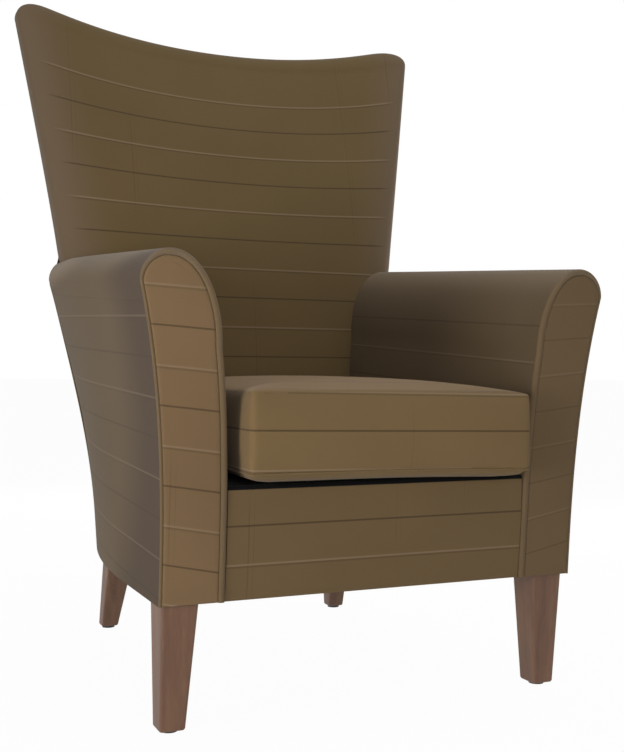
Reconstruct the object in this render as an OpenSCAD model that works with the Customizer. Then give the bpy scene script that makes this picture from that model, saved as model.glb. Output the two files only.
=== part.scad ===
// Fireside chair: a padded armchair with a tall winged back, flared sloping
// arms, a loose seat cushion and four tapered wooden legs.
// X runs across the chair, Y runs to the rear and Z is up, in millimetres.

/* [Body] */
// Height of the body's underside above the floor
base_z = 167; // [150:1:180]
// Width of the body along its lower front edge
front_w = 616; // [604:1:628]
// How far each side of the body draws in from its front to its lower rear corner
rear_tuck = 55; // [49:1:61]
// Depth of the body along its underside
body_d = 622; // [610:1:640]
// Distance from the lower front edge back to the middle of the front feet
foot_setback = 42; // [38:1:48]
// Forward lean of the front faces, which is also the slope of the arms
front_lean = 4; // [3:0.5:6]
// Backward lean of the lower rear face
rear_lean = 4.6; // [3:0.1:6]
// Thickness of the padded covers on the arms
cover_t = 14; // [11:0.5:16]
// Thickness of the stretched cloth panels at the rear
panel_t = 6; // [4:0.5:8]
// Thickness of the black cloth under the body
dust_t = 1.5; // [1:0.25:2.5]

/* [Seat] */
// Width of each arm along its lower front edge
arm_w = 86; // [80:1:90]
// How much narrower the seat is at its rear, on each side
seat_taper = 22; // [16:1:26]
// Height of the sprung seat deck, which the cushion lies on
deck_z = 314; // [306:1:322]
// Thickness of the seat deck
deck_t = 12; // [8:0.5:16]
// Thickness of the back and its frame at the seat
back_low_t = 102; // [90:1:112]
// Thickness of the front border panel
border_t = 12; // [8:0.5:16]
// How far the front border sits behind the arm fronts
border_inset = 4; // [2:0.5:8]

/* [Cushion] */
// Height of the cushion's sides from seam to seam
cushion_t = 101; // [88:1:108]
// Rise of the cushion's crown above its top seam
cushion_crown = 15; // [8:1:20]
// Height of the rounded under edge below the lower seam
cushion_under = 18; // [12:0.5:22]
// How far the cushion stands out in front of the arms
cushion_nose = 36; // [24:1:44]
// Radius of the cushion's corners in plan
cushion_corner = 26; // [16:1:34]
// How far the sides are drawn in at the seams
cushion_draw = 7; // [3:0.5:9]
// Gap between the cushion and the arms
cushion_gap = 4; // [2:0.5:6]
// Gap between the cushion and the back, which the zip needs
cushion_rear_gap = 11; // [9:0.5:14]
// Thickness of the cushion's cover
cushion_skin = 3; // [2:0.5:4]
// How far each end of the zip stays in from the seat's width at the front
zip_inset = 52; // [40:1:70]
// Width of the zip's cloth tape
zip_w = 26; // [20:1:30]

/* [Arms] */
// Height of the arms at their fronts
arm_h = 609; // [598:1:622]
// Outward flare of the arms' outer faces at the top
arm_flare = 44; // [36:1:52]
// Outward lean of the arms' inner faces at the top
arm_in_flare = 37; // [28:1:42]
// Height of the large roll on the inner side of an arm top
arm_roll = 122; // [104:1:130]
// Height of the small shoulder on the outer side of an arm top
arm_shoulder = 29; // [22:1:38]
// Width of the cover's rim round an arm front
rim_w = 9; // [7:0.5:12]
// Thickness of the arm fronts
facing_t = 14; // [10:0.5:18]
// How far down the outer face the inner cover reaches
arm_wrap = 66; // [56:1:76]

/* [Back] */
// Height of the wing tips
back_h = 1108; // [1085:1:1125]
// How far each wing flares out from the back's waist to its widest place
wing_flare = 83; // [70:1:90]
// How far each side of the back's waist stands out past the body's lower front corner
waist_out = 2; // [0:1:6]
// How far below the arm tops the back starts to narrow
waist_drop = 46; // [36:1:56]
// How far the wing tips come forward of the back's middle
wing_fwd = 48; // [25:1:60]
// Height of the wing tips above the middle of the top edge
wing_rise = 40; // [20:1:48]
// Height above the seat deck at which the back starts to lean
lumbar_rise = 88; // [70:1:110]
// How far the top of the padded back lies behind its foot
back_rake = 158; // [140:1:170]
// Thickness of the back at its top
back_top_t = 78; // [70:1:90]
// Radius of the rolled top edge
top_roll = 39; // [28:1:42]
// Radius of the wing tips in front view
tip_r = 50; // [38:1:56]
// Thickness of the back's padding
back_pad = 40; // [32:1:44]
// Width of the padded roll along each side of the back
side_roll = 22; // [16:1:26]

/* [Frame] */
// Thickness of the seat rails
rail_t = 26; // [22:1:30]
// Width of the front posts across the chair
post_w = 48; // [40:1:50]
// Depth of the front posts
post_d = 42; // [34:1:50]
// Width of the back posts across the chair
back_post_w = 38; // [30:1:42]
// Depth of the back posts
back_post_d = 32; // [26:1:36]
// Thickness of the arm rails
arm_rail_t = 22; // [18:1:26]
// Width of the arm rails
arm_rail_w = 46; // [36:1:48]
// Height of the stuffing rails
stuff_rail_h = 32; // [26:1:38]
// Height of the two cross rails in the back
cross_rail_h = 44; // [36:1:52]
// Thickness of the two cross rails in the back
cross_rail_t = 24; // [18:1:28]
// Length of a corner block's square sides
block_l = 78; // [66:1:84]
// Height of a corner block
block_h = 44; // [34:1:52]

/* [Springs] */
// Number of zigzag springs
spring_count = 4; // [3:1:5]
// Wire diameter of the springs
wire_d = 3.6; // [3:0.1:4.2]
// Width of a zigzag spring
spring_w = 52; // [46:1:58]
// Distance between a spring's cross wires
spring_pitch = 33; // [28:1:38]
// Height of the clips that hold the springs on the rails
clip_h = 10; // [9:0.5:13]
// Width of a spring clip
clip_w = 12; // [10:0.5:14]
// Depth of a spring clip
clip_d = 14; // [12:0.5:18]
// Width of a webbing strap in the back
strap_w = 50; // [40:1:60]
// Thickness of a webbing strap
strap_t = 2; // [1.5:0.1:3]
// Number of webbing straps in the back
strap_count = 5; // [4:1:6]

/* [Legs] */
// Width of a front leg at its top
leg_top_w = 49; // [44:1:54]
// Depth of a front leg at its top
leg_top_d = 54; // [48:1:58]
// Width of a front leg at its foot
leg_foot_w = 34; // [28:1:38]
// Depth of a front leg at its foot
leg_foot_d = 37; // [32:1:42]
// Width and depth of a rear leg at its top
rear_leg_top = 50; // [42:1:52]
// Width and depth of a rear leg at its foot
rear_leg_foot = 29; // [26:1:34]
// How far the rear feet stand behind their tops
rear_leg_rake = 40; // [30:1:50]
// How far the rear feet stand outside their tops
rear_leg_splay = 13; // [8:1:20]
// How far the outer and rear faces of the front legs lean in
leg_lean = 3; // [1:0.5:5]
// Radius of the legs' edges
leg_edge_r = 4; // [2:0.5:6]
// Diameter of the glides under the feet
glide_d = 22; // [18:1:25]
// Thickness of the glides
glide_t = 4; // [3:0.5:6]
// Diameter of the glides' nails
nail_d = 3; // [2.5:0.1:4]
// Length of the glides' nails
nail_l = 14; // [10:1:18]
// Diameter of the leg bolts
bolt_d = 8; // [6:0.5:10]
// Length of a leg bolt inside the leg
bolt_in_leg = 30; // [22:1:34]
// Length of a leg bolt above the leg plate
bolt_in_post = 26; // [20:1:34]
// Thickness of the leg plates
plate_t = 3; // [2:0.5:3.5]
// Width of the square leg plates
plate_w = 40; // [36:1:44]

/* [Hidden] */
$fn = 48;

// Working clearance between pieces that lie against each other
fit = 0.4;
// Clearance round bolts and nails in their holes
hole_fit = 0.3;
// Overrun of every cut past the face that it opens
over = 2;
// Seat clearance under the cushion
seat_fit = 0.3;
// Clearance that the curved sides and rear need over flat pieces
curve_fit = 8;
// Gap between the padded back and the panel behind it
panel_gap = 1.6;

wood = [0.72, 0.58, 0.42];
leg_wood = [0.44, 0.30, 0.23];
cloth = [0.42, 0.34, 0.24];
dark_cloth = [0.07, 0.07, 0.07];
metal = [0.62, 0.62, 0.64];
foam = [0.88, 0.83, 0.66];

// Width between the arms at the front
seat_w = front_w - 2 * arm_w;
// Width of the body along its lower rear edge
rear_w = front_w - 2 * rear_tuck;
// Width of the back at its waist, just above the arms, and over the wings
waist_w = front_w + 2 * waist_out;
wing_w = waist_w + 2 * wing_flare;
// Length of the zip across the cushion's rear face
zip_l = seat_w - 2 * zip_inset;

// Places along Y that follow from the sizes above
rear_y = body_d - foot_setback;
seat_rear_y = rear_y - back_low_t;
function front_y(z) = -foot_setback - tan(front_lean) * (z - base_z);
function arm_top(y) = arm_h + tan(front_lean) * (y - front_y(arm_h));
join_z = arm_top(rear_y);
function rear_face(z) = rear_y + tan(rear_lean) * (z - base_z);

// Shares that shape the body's outer sides
flare_power_share = 2.7;
lean_power_share = 3.3;
straight_low_share = 0.22;
straight_high_share = 0.53;
tuck_high_share = 0.42;
seat_d = seat_rear_y - front_y(deck_z);

function up_share(y, z) = min(1, max(0, (z - base_z) / (arm_top(y) - base_z)));
function mix(a, b, share) = a + (b - a) * share;
function curve_in(y, u) =
    let (start = rear_y * mix(straight_low_share, straight_high_share, u))
    pow(max(0, (y - start) / (rear_y - start)), 2);
function side_out(y, z) =
    let (u = up_share(y, z))
    front_w / 2 + arm_flare * pow(u, flare_power_share)
        - rear_tuck * mix(1, tuck_high_share, u) * curve_in(y, u);
function side_in(y, z) =
    seat_w / 2 + arm_in_flare * pow(up_share(y, z), lean_power_share)
        - seat_taper * max(0, y - front_y(z)) / seat_d;

// The back: its front and rear surfaces, half width and wings
lumbar_z = deck_z + lumbar_rise;
rake_power_share = 1.6;
wing_power_share = 3;
flare_up_share = 1.1;
section_power_share = 4.5;
rear_sweep = seat_rear_y + back_rake + back_top_t - rear_face(back_h);
waist_z = join_z - waist_drop;

function rise_share(z) = min(1, max(0, (z - waist_z) / (back_h - waist_z)));
function back_front(z) =
    seat_rear_y + back_rake
        * pow(max(0, (z - lumbar_z) / (back_h - lumbar_z)), rake_power_share);
function back_rear(z) = rear_face(z) + rear_sweep * pow(rise_share(z), 2);
function back_half(z) =
    z < waist_z
        ? side_out(rear_y, z) - cover_t - fit
        : mix(side_out(rear_y, waist_z) - cover_t - fit, waist_w / 2,
              min(1, (z - waist_z) / waist_drop))
            + (wing_w - waist_w) / 2 * pow(rise_share(z), flare_up_share);
function wing(x, z) =
    wing_fwd * rise_share(z) * pow(min(1, abs(x) / (wing_w / 2)), wing_power_share);
function lift(x, z) =
    wing_rise * pow(rise_share(z), 2) * (pow(x / (wing_w / 2 - tip_r), 2) - 1);
function signed_power(v, p) = sign(v) * pow(abs(v), p);

// The depth of the whole chair, which puts the origin at its middle
cushion_front_y = front_y(deck_z + cushion_under + cushion_t / 2) - cushion_nose;
outer_rear_y = back_rear(back_h - top_roll) + panel_gap + panel_t;
mid_y = (cushion_front_y + outer_rear_y) / 2;

module placed() {
    translate([0, -mid_y, 0])
        children();
}

// Builds a solid through rings of points, each closed by strips at the ends
module loft(rings) {
    n = len(rings[0]);
    m = len(rings);
    half = floor(n / 2);
    sides = [for (j = [0:m - 2], i = [0:n - 1])
        let (k = (i + 1) % n)
        each [[j * n + i, (j + 1) * n + k, j * n + k],
              [j * n + i, (j + 1) * n + i, (j + 1) * n + k]]];
    last = (m - 1) * n;
    near_end = [for (i = [0:half - 2])
        each [[i, n - 2 - i, n - 1 - i], [i, i + 1, n - 2 - i]]];
    far_end = [for (i = [0:half - 2])
        each [[last + i, last + n - 1 - i, last + n - 2 - i],
              [last + i, last + n - 2 - i, last + i + 1]]];
    odd_near = n % 2 == 1 ? [[half - 1, half, half + 1]] : [];
    odd_far = n % 2 == 1 ? [[last + half - 1, last + half + 1, last + half]] : [];
    polyhedron(points = [for (ring = rings) each ring],
               faces = concat(sides, near_end, far_end, odd_near, odd_far));
}

// Builds a curved board between two equal grids of points
module board(front, rear) {
    rings = [for (j = [0:len(front) - 1])
        concat(front[j], [for (i = [len(rear[j]) - 1:-1:0]) rear[j][i]])];
    loft(rings);
}

module both_sides(side) {
    mirror([side < 0 ? 1 : 0, 0, 0])
        children();
}

// One arm's cross-section at a share of its length, drawn in by inset
arm_steps_share = [0, 0.22, 0.44, 0.62, 0.78, 0.9];
arm_stations_share = [0, 0.12, 0.26, 0.4, 0.53, 0.65, 0.76, 0.86, 0.94, 1];
arm_peak_share = 0.64;
function arm_ring(share, inset, low, front_cut, rear_cut) =
    let (y_mid = mix(front_y(arm_h), rear_face(arm_h), share),
         top = arm_top(y_mid),
         z_in = top - arm_roll,
         z_out = top - arm_shoulder,
         x_in = side_in(y_mid, z_in),
         x_out = side_out(y_mid, z_out),
         peak = mix(x_in, x_out, arm_peak_share),
         place = function (x, z)
             [x, mix(front_y(z) + front_cut, rear_face(z) + rear_cut, share), z])
    concat(
        [for (s = arm_steps_share)
            let (z = mix(low, z_in, s)) place(side_in(y_mid, z) + inset, z)],
        [for (a = [0:10:90])
            place(peak - cos(a) * (peak - x_in - inset), z_in + (arm_roll - inset) * sin(a))],
        [for (a = [75:-15:0])
            place(peak + cos(a) * (x_out - inset - peak),
                  z_out + (arm_shoulder - inset) * sin(a))],
        [for (i = [len(arm_steps_share) - 1:-1:0])
            let (z = mix(low, z_out, arm_steps_share[i]))
            place(side_out(y_mid, z) - inset, z)]);

module arm_form(inset = 0, low = base_z, front_cut = 0, rear_cut = 0) {
    loft([for (s = arm_stations_share) arm_ring(s, inset, low, front_cut, rear_cut)]);
}

// The part of an arm form in front of a plane that lies front_cut behind it
module front_slice(depth) {
    rotate([90, 0, 90])
        linear_extrude(height = front_w)
            polygon([[front_y(0) - front_w, 0], [front_y(0) + depth, 0],
                     [front_y(back_h) + depth, back_h], [front_y(0) - front_w, back_h]]);
}

// Everything outside the middle of an arm's section and below its wrap line
mid_rows = 6;
module outer_half(grow = 0) {
    past = rear_face(join_z) + curve_fit;
    before = front_y(arm_h) - curve_fit;
    stations = [for (t = [0:12]) mix(before, past, t / 12)];
    levels = [for (j = [0:mid_rows]) mix(base_z - over, join_z, j / mid_rows)];
    middle = [for (z = levels)
        [for (y = stations) [(side_in(y, z) + side_out(y, z)) / 2 - grow, y, z]]];
    outside = [for (z = levels) [for (y = stations) [front_w, y, z]]];
    intersection() {
        board(outside, middle);
        rotate([90, 0, 90])
            linear_extrude(height = front_w)
                polygon([[-front_w, 0], [rear_y + front_w, 0],
                         [rear_y + front_w, arm_top(rear_y + front_w) - arm_wrap + grow],
                         [-front_w, arm_top(-front_w) - arm_wrap + grow]]);
    }
}

// The room behind the middle of the back, down to the arms' rear ends
module back_room() {
    levels = [for (j = [0:mid_rows]) mix(back_low - fit, waist_z, j / mid_rows)];
    function row(z, share) =
        level_row(z, back_half(z) + fit, (back_rear(z) - back_front(z)) * share);
    board([for (z = levels) row(z, 0.5)], [for (z = levels) row(z, 1.5)]);
}

// The padded shell of one arm, open below and in front
module arm_shell() {
    difference() {
        arm_form(front_cut = border_inset / 2);
        intersection() {
            arm_form(inset = rim_w, low = base_z - over, front_cut = -over);
            front_slice(facing_t + fit);
        }
        difference() {
            arm_form(inset = cover_t, low = base_z - over, front_cut = -over,
                     rear_cut = over);
            front_slice(facing_t);
        }
        back_form(grow = fit);
        back_room();
    }
}

// The room that the seat's rails need under the inner face of an arm
module rail_room() {
    room_y = front_y(base_z) + facing_t + fit;
    translate([0, room_y, base_z - over])
        cube([(seat_w + front_w) / 4, body_d, back_low - fit / 2 - base_z + over]);
}

module inside_arm(side) {
    color(cloth)
        placed()
            both_sides(side)
                difference() {
                    arm_shell();
                    outer_half(grow = fit);
                    rail_room();
                }
}

module outside_arm(side) {
    color(cloth)
        placed()
            both_sides(side)
                intersection() {
                    arm_shell();
                    outer_half();
                }
}

module arm_front(side) {
    color(cloth)
        placed()
            both_sides(side)
                intersection() {
                    arm_form(inset = rim_w + fit);
                    front_slice(facing_t);
                }
}

// A level ring round the back, pulled in by the given amounts
back_ring_n = 52;
function back_ring(z, half_w, y_front, y_rear, power) =
    [for (i = [0:back_ring_n - 1])
        let (a = (i + 0.5) * 360 / back_ring_n + 180,
             x = half_w * signed_power(cos(a), 2 / power),
             y = (y_front + y_rear) / 2
                 + (y_rear - y_front) / 2 * signed_power(sin(a), 2 / power))
        [x, y - wing(x, z), z + lift(x, z)]];

back_low = deck_z - deck_t + 2 * fit;
back_rows_share = [0, 0.15, 0.3, 0.42, 0.46, 0.5, 0.58, 0.68, 0.78, 0.89, 1];
module back_form(grow = 0) {
    shoulder = back_h - top_roll;
    body_rings = [for (s = back_rows_share)
        let (z = mix(back_low, shoulder, s) - (s == 0 ? grow : 0))
        back_ring(z, back_half(z) + grow, back_front(z) - grow, back_rear(z) + grow,
                  section_power_share)];
    roll_rings = [for (a = [20:17.5:90])
        let (z = shoulder + top_roll * sin(a),
             half_t = (back_rear(shoulder) - back_front(shoulder)) / 2,
             thin = half_t * (1 - cos(a)) * 0.88,
             drop = back_half(shoulder) - tip_r * (1 - cos(a)))
        back_ring(z, drop + grow, back_front(shoulder) + thin - grow,
                  back_rear(shoulder) - thin + grow, section_power_share)];
    loft(concat(body_rings, roll_rings));
}

cavity_top = back_h - top_roll - wing_rise;
across_share = [for (i = [-8:8]) i / 8];
cavity_rows = 15;
function level_row(z, half_w, depth) =
    [for (t = across_share)
        [half_w * t, back_front(z) + depth - wing(half_w * t, z), z]];
module back_cavity() {
    levels = [for (j = [0:cavity_rows]) mix(back_low - over, cavity_top, j / cavity_rows)];
    past_rear = front_w / 8;
    front = [for (z = levels) level_row(z, back_half(z) - side_roll, back_pad)];
    rear = [for (z = levels)
        level_row(z, back_half(z) - side_roll, back_rear(z) - back_front(z) + past_rear)];
    board(front, rear);
}

module inside_back() {
    color(cloth)
        placed()
            difference() {
                back_form();
                back_cavity();
                for (side = [-1, 1]) {
                    both_sides(side)
                        arm_rail_solid(grow = 2 * fit);
                }
            }
}

// The rear surface of the back at a place across it
function skin_rear(x, z) =
    let (mid = (back_front(z) + back_rear(z)) / 2,
         half_t = (back_rear(z) - back_front(z)) / 2,
         share = min(1, abs(x) / back_half(z)))
    mid + half_t * pow(1 - pow(share, section_power_share), 1 / section_power_share)
        - wing(x, z);

outer_near_share = [0.3, 0.55, 0.72, 0.84, 0.92, 0.97, 1];
outer_across_share = concat([for (i = [6:-1:0]) -outer_near_share[i]], [0], outer_near_share);
outer_low_share = [0, 0.34, 0.68, 1];
outer_high_share = [0.06, 0.13, 0.21, 0.32, 0.45, 0.59, 0.74, 0.88, 1];
outer_edge = top_roll / 2;
function outer_half_w(z) =
    z < waist_z
        ? side_out(rear_y, z) - over
        : mix(side_out(rear_y, waist_z) - over, back_half(z) - outer_edge,
              min(1, (z - waist_z) / waist_drop));
function outer_y(x, z) =
    mix(back_rear(z), skin_rear(x, z), min(1, max(0, (z - join_z) / waist_drop))) + panel_gap;
module outside_back() {
    levels = concat([for (s = outer_low_share) mix(base_z, join_z, s)],
                    [for (s = outer_high_share) mix(join_z, back_h - top_roll, s)]);
    function row(z, depth) =
        [for (t = outer_across_share)
            let (x = outer_half_w(z) * t)
            [x, outer_y(x, z) + depth, z + lift(x, z)]];
    front = [for (z = levels) row(z, 0)];
    rear = [for (z = levels) row(z, panel_t)];
    color(cloth)
        placed()
            board(front, rear);
}

// Seat rails stand on the leg plates and carry the spring clips
rail_z = base_z + plate_t;
rail_top = deck_z - deck_t - clip_h;
rail_h = rail_top - rail_z;
front_rail_y = front_y(base_z) + border_inset + border_t + fit;
rear_rail_y = rear_y - rail_t - fit;
side_wall = cover_t + fit;
function post_front(z) = front_y(z) + facing_t + fit;
function post_in(z) = side_in(front_y(z), z) + side_wall;
post_inner = post_in(base_z);
side_rail_y = post_front(rail_z) + post_d + fit;
side_rail_end = rear_rail_y - fit;
side_rail_x = post_inner + post_w;
side_rail_end_x = side_out(side_rail_end, base_z) - side_wall - curve_fit;
function side_rail_out(y) =
    mix(side_rail_x, side_rail_end_x, (y - side_rail_y) / (side_rail_end - side_rail_y));

module front_rail() {
    half = post_inner - fit;
    color(wood)
        placed()
            translate([-half, front_rail_y, rail_z])
                cube([2 * half, rail_t, rail_h]);
}

module rear_rail() {
    half = rear_w / 2 - side_wall - curve_fit;
    color(wood)
        placed()
            translate([-half, rear_rail_y, rail_z])
                cube([2 * half, rail_t, rail_h]);
}

// A side rail runs from the front post to the rear rail, inside the curved skin
module seat_rail(side) {
    color(wood)
        placed()
            both_sides(side)
                translate([0, 0, rail_z])
                    linear_extrude(height = rail_h)
                        polygon([for (y = [side_rail_y, side_rail_end])
                                     [side_rail_out(y), y],
                                 for (y = [side_rail_end, side_rail_y])
                                     [side_rail_out(y) - rail_t, y]]);
}

// Front posts stand inside the arm fronts and lean with them
arm_rail_drop = cover_t + arm_roll / 4;
arm_rail_low = arm_h - arm_rail_drop - arm_rail_t;
arm_rail_y = post_front(arm_rail_low);
function post_top(y) = arm_top(y) - arm_rail_drop - arm_rail_t - fit;
post_rows_share = [0, 0.3, 0.5, 0.7, 0.85, 1];
module front_post(side) {
    levels = [for (s = post_rows_share) mix(rail_z, arm_h, s)];
    flip = [for (i = [len(levels) - 1:-1:0]) levels[i]];
    color(wood)
        placed()
            both_sides(side)
                difference() {
                    intersection() {
                        translate([0, front_w, 0])
                            rotate([90, 0, 0])
                                linear_extrude(height = 2 * front_w)
                                    polygon([for (z = levels) [post_in(z), z],
                                             for (z = flip) [post_in(z) + post_w, z]]);
                        rotate([90, 0, 90])
                            linear_extrude(height = front_w)
                                polygon([[post_front(rail_z), rail_z],
                                         [post_front(rail_z) + post_d, rail_z],
                                         [arm_rail_y + post_d, post_top(arm_rail_y + post_d)],
                                         [arm_rail_y, post_top(arm_rail_y)]]);
                    }
                    bolt_hole(front_bolt, rail_z);
                }
}

// Arm rails follow the arm's slope from the front post to the back post
post_depth = back_pad + strap_t + 4 * fit;
arm_rail_end = back_front(waist_z - waist_drop / 2) + post_depth - fit;
module arm_rail_solid(grow = 0) {
    y_b = arm_rail_end + 2 * grow;
    top_a = arm_top(arm_rail_y) - arm_rail_drop + grow;
    top_b = arm_top(y_b) - arm_rail_drop + grow;
    mid_a = mix(side_in(arm_rail_y, top_a), side_out(arm_rail_y, top_a), arm_peak_share) - arm_rail_t / 2;
    mid_b = back_half(waist_z) - side_roll - fit - back_post_w / 2;
    intersection() {
        linear_extrude(height = back_h)
            polygon([[mid_a - arm_rail_w / 2 - grow, arm_rail_y],
                     [mid_a + arm_rail_w / 2 + grow, arm_rail_y],
                     [mid_b + back_post_w / 2 + grow, y_b],
                     [mid_b - back_post_w / 4 - grow, y_b]]);
        rotate([90, 0, 90])
            linear_extrude(height = front_w)
                polygon([[arm_rail_y, top_a - arm_rail_t - 2 * grow],
                         [y_b, top_b - arm_rail_t - 2 * grow],
                         [y_b, top_b], [arm_rail_y, top_a]]);
    }
}

module arm_rail(side) {
    color(wood)
        placed()
            both_sides(side)
                arm_rail_solid();
}

// Stuffing rails hold the lower edge of the inner arm covers
function stuff_x(y) = side_in(y, deck_z + stuff_rail_h) + side_wall + fit;
module stuffing_rail(side) {
    y_a = post_front(deck_z) + post_d + 2 * fit;
    y_b = seat_rear_y - fit;
    color(wood)
        placed()
            both_sides(side)
                translate([0, 0, deck_z + fit])
                    linear_extrude(height = stuff_rail_h)
                        polygon([[stuff_x(y_a), y_a], [stuff_x(y_a) + rail_t / 2, y_a],
                                 [stuff_x(y_b) + rail_t / 2, y_b], [stuff_x(y_b), y_b]]);
}

// Back posts follow the flare, the rake and the wings of the back
post_low_out = side_rail_end_x - rail_t - fit;
post_extra = rear_rail_y - fit - seat_rear_y - post_depth - back_post_d;
post_end = cavity_top - wing_rise - fit;
function back_post_out(z) =
    z < back_low ? post_low_out : back_half(z) - side_roll - 2 * fit;
function back_post_deep(z) =
    back_post_d * (1 - 0.45 * rise_share(z))
        + post_extra * min(1, max(0, (waist_z - z) / (waist_z - rail_top)));
back_post_rows = 9;
module back_post(side) {
    levels = concat([rail_z, rail_top],
                    [for (j = [0:back_post_rows]) mix(back_low, post_end, j / back_post_rows)]);
    function post_row(z, depth) =
        [for (t = [0, 1])
            let (x = back_post_out(z) - back_post_w * (1 - t))
            [x, back_front(z) + depth - wing(x, z), z]];
    color(wood)
        placed()
            both_sides(side)
                difference() {
                    board([for (z = levels) post_row(z, post_depth)],
                          [for (z = levels) post_row(z, post_depth + back_post_deep(z))]);
                    bolt_hole(rear_bolt, rail_z);
                }
}

// A curved cross rail between the back posts
module cross_rail(z_low, z_high) {
    function row(z, depth) =
        level_row(z, back_half(z) - side_roll - 3 * fit - back_post_w, depth);
    board([for (z = [z_low, z_high]) row(z, post_depth)],
          [for (z = [z_low, z_high]) row(z, post_depth + cross_rail_t)]);
}

module back_top_rail() {
    color(wood)
        placed()
            cross_rail(post_end - cross_rail_h, post_end);
}

lower_rail_z = deck_z + stuff_rail_h;
module back_lower_rail() {
    color(wood)
        placed()
            cross_rail(lower_rail_z, lower_rail_z + cross_rail_h);
}

// Straps stretched across the front of the back posts
module back_webbing() {
    low = lower_rail_z + cross_rail_h + strap_w / 2;
    under_arm = waist_z - waist_drop - strap_w;
    above_arm = waist_z + waist_drop;
    high = post_end - cross_rail_h - 1.5 * strap_w;
    step = (high - above_arm) / (strap_count - 3);
    places = concat([low, under_arm],
                    [for (k = [0:strap_count - 3]) above_arm + k * step]);
    function row(z, depth) =
        level_row(z, back_half(z) - side_roll - back_post_w / 4, depth);
    color(dark_cloth)
        placed()
            for (z_k = places) {
                levels = [z_k, z_k + strap_w / 2, z_k + strap_w];
                board([for (z = levels) row(z, back_pad + 2 * fit)],
                      [for (z = levels) row(z, back_pad + 2 * fit + strap_t)]);
            }
}

// Places of the legs and of the bolts that hold them
front_leg_x = front_w / 2 - leg_top_w / 2 - 2 * leg_lean;
front_foot_x = front_leg_x + (leg_top_w - leg_foot_w) / 2 - leg_lean;
front_leg_y = leg_lean - (leg_top_d - leg_foot_d) / 2;
rear_leg_x = rear_w / 2 - side_wall - 0.6 * rear_leg_top;
rear_leg_y = rear_rail_y - 0.22 * rear_leg_top;
front_bolt = [post_inner + post_w / 2, post_front(rail_z) + post_d / 2];
rear_bolt = [post_low_out - 0.3 * back_post_w, rear_rail_y - 1.2 * bolt_d];

module bolt_hole(at, low) {
    translate([at[0], at[1], low - over])
        cylinder(d = bolt_d + 2 * hole_fit, h = bolt_in_post + 2 * over);
}

// Blocks that brace the frame: across the front corners, behind the front
// posts, and between the back posts and the rear rail
module corner_blocks() {
    x_in = post_inner - fit;
    y_in = front_rail_y + rail_t + fit;
    y_out = y_in + block_l;
    color(wood)
        placed()
            for (side = [-1, 1])
                both_sides(side)
                    translate([0, 0, rail_z])
                        linear_extrude(height = block_h)
                            polygon([[x_in, y_in], [x_in, side_rail_y],
                                     [side_rail_out(side_rail_y) - rail_t - fit, side_rail_y],
                                     [side_rail_out(y_out) - rail_t - fit, y_out],
                                     [x_in - 0.8 * block_l, y_in]]);
}

// Zigzag springs run from the front rail to the rear rail
wire_z = deck_z - deck_t - fit - wire_d / 2 - wire_d / 2;
spring_front = front_rail_y + rail_t / 2;
spring_reach = rear_rail_y + rail_t / 2 - spring_front;
spring_turns = 2 * round(spring_reach / spring_pitch / 2);
turn_step = floor(10 * spring_reach / spring_turns) / 10;
spring_rear = spring_front + spring_turns * turn_step;
spring_span = 2 * (post_low_out - back_post_w - fit) - spring_w;
function spring_x(k) = -spring_span / 2 + k * spring_span / (spring_count - 1);

module zigzag_spring() {
    straight = spring_w - turn_step - wire_d;
    for (i = [0:spring_turns]) {
        translate([-straight / 2, i * turn_step, 0])
            rotate([0, 90, 0])
                cylinder(d = wire_d, h = straight);
        if (i < spring_turns)
            translate([(i % 2 == 0 ? 1 : -1) * straight / 2, (i + 0.5) * turn_step, 0])
                rotate([0, 0, i % 2 == 0 ? -90 : 90])
                    rotate_extrude(angle = 180)
                        translate([turn_step / 2, 0])
                            circle(d = wire_d);
    }
}

module seat_springs() {
    color(metal)
        placed()
            for (k = [0:spring_count - 1])
                translate([spring_x(k), spring_front, wire_z])
                    zigzag_spring();
}

module spring_clips() {
    color(metal)
        placed()
            for (k = [0:spring_count - 1], y = [spring_front, spring_rear])
                translate([spring_x(k), y, 0])
                    difference() {
                        translate([-clip_w / 2, -clip_d / 2, rail_top])
                            cube([clip_w, clip_d, clip_h - fit]);
                        translate([-clip_w, 0, wire_z])
                            rotate([0, 90, 0])
                                cylinder(d = wire_d + 2 * hole_fit, h = 2 * clip_w);
                    }
}

// The padded seat deck under black cloth
module seat_deck() {
    y_a = front_y(deck_z - deck_t) + border_inset + border_t + fit;
    y_b = seat_rear_y - fit;
    function half(y) = side_in(y, deck_z - deck_t) - 2 * fit;
    color(dark_cloth)
        placed()
            translate([0, 0, deck_z - deck_t])
                linear_extrude(height = deck_t)
                    polygon([[-half(y_a), y_a], [half(y_a), y_a],
                             [half(y_b), y_b], [-half(y_b), y_b]]);
}

// Thin black cloth closes the underside between the plates
dust_rows = 9;
module dust_cover() {
    y_a = front_rail_y;
    y_b = rear_y - fit;
    levels = [for (j = [0:dust_rows]) mix(y_a, y_b, j / dust_rows)];
    function half(y) = side_out(y, base_z) - side_wall - curve_fit;
    color(dark_cloth)
        placed()
            translate([0, 0, rail_z - dust_t])
                linear_extrude(height = dust_t)
                    difference() {
                        polygon([for (y = levels) [half(y), y],
                                 for (j = [dust_rows:-1:0]) [-half(levels[j]), levels[j]]]);
                        for (side = [-1, 1], at = [front_bolt, rear_bolt])
                            translate([side * at[0], at[1]])
                                square(plate_w + 2 * fit, center = true);
                    }
}

// The front border hangs below the deck between the arms
module front_border() {
    half = seat_w / 2 - 2 * fit;
    color(cloth)
        placed()
            translate([-half, 0, 0])
                rotate([90, 0, 90])
                    linear_extrude(height = 2 * half)
                        polygon([for (z = [base_z, deck_z]) [front_y(z) + border_inset, z],
                                 for (z = [deck_z, base_z])
                                     [front_y(z) + border_inset + border_t, z]]);
}

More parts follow.
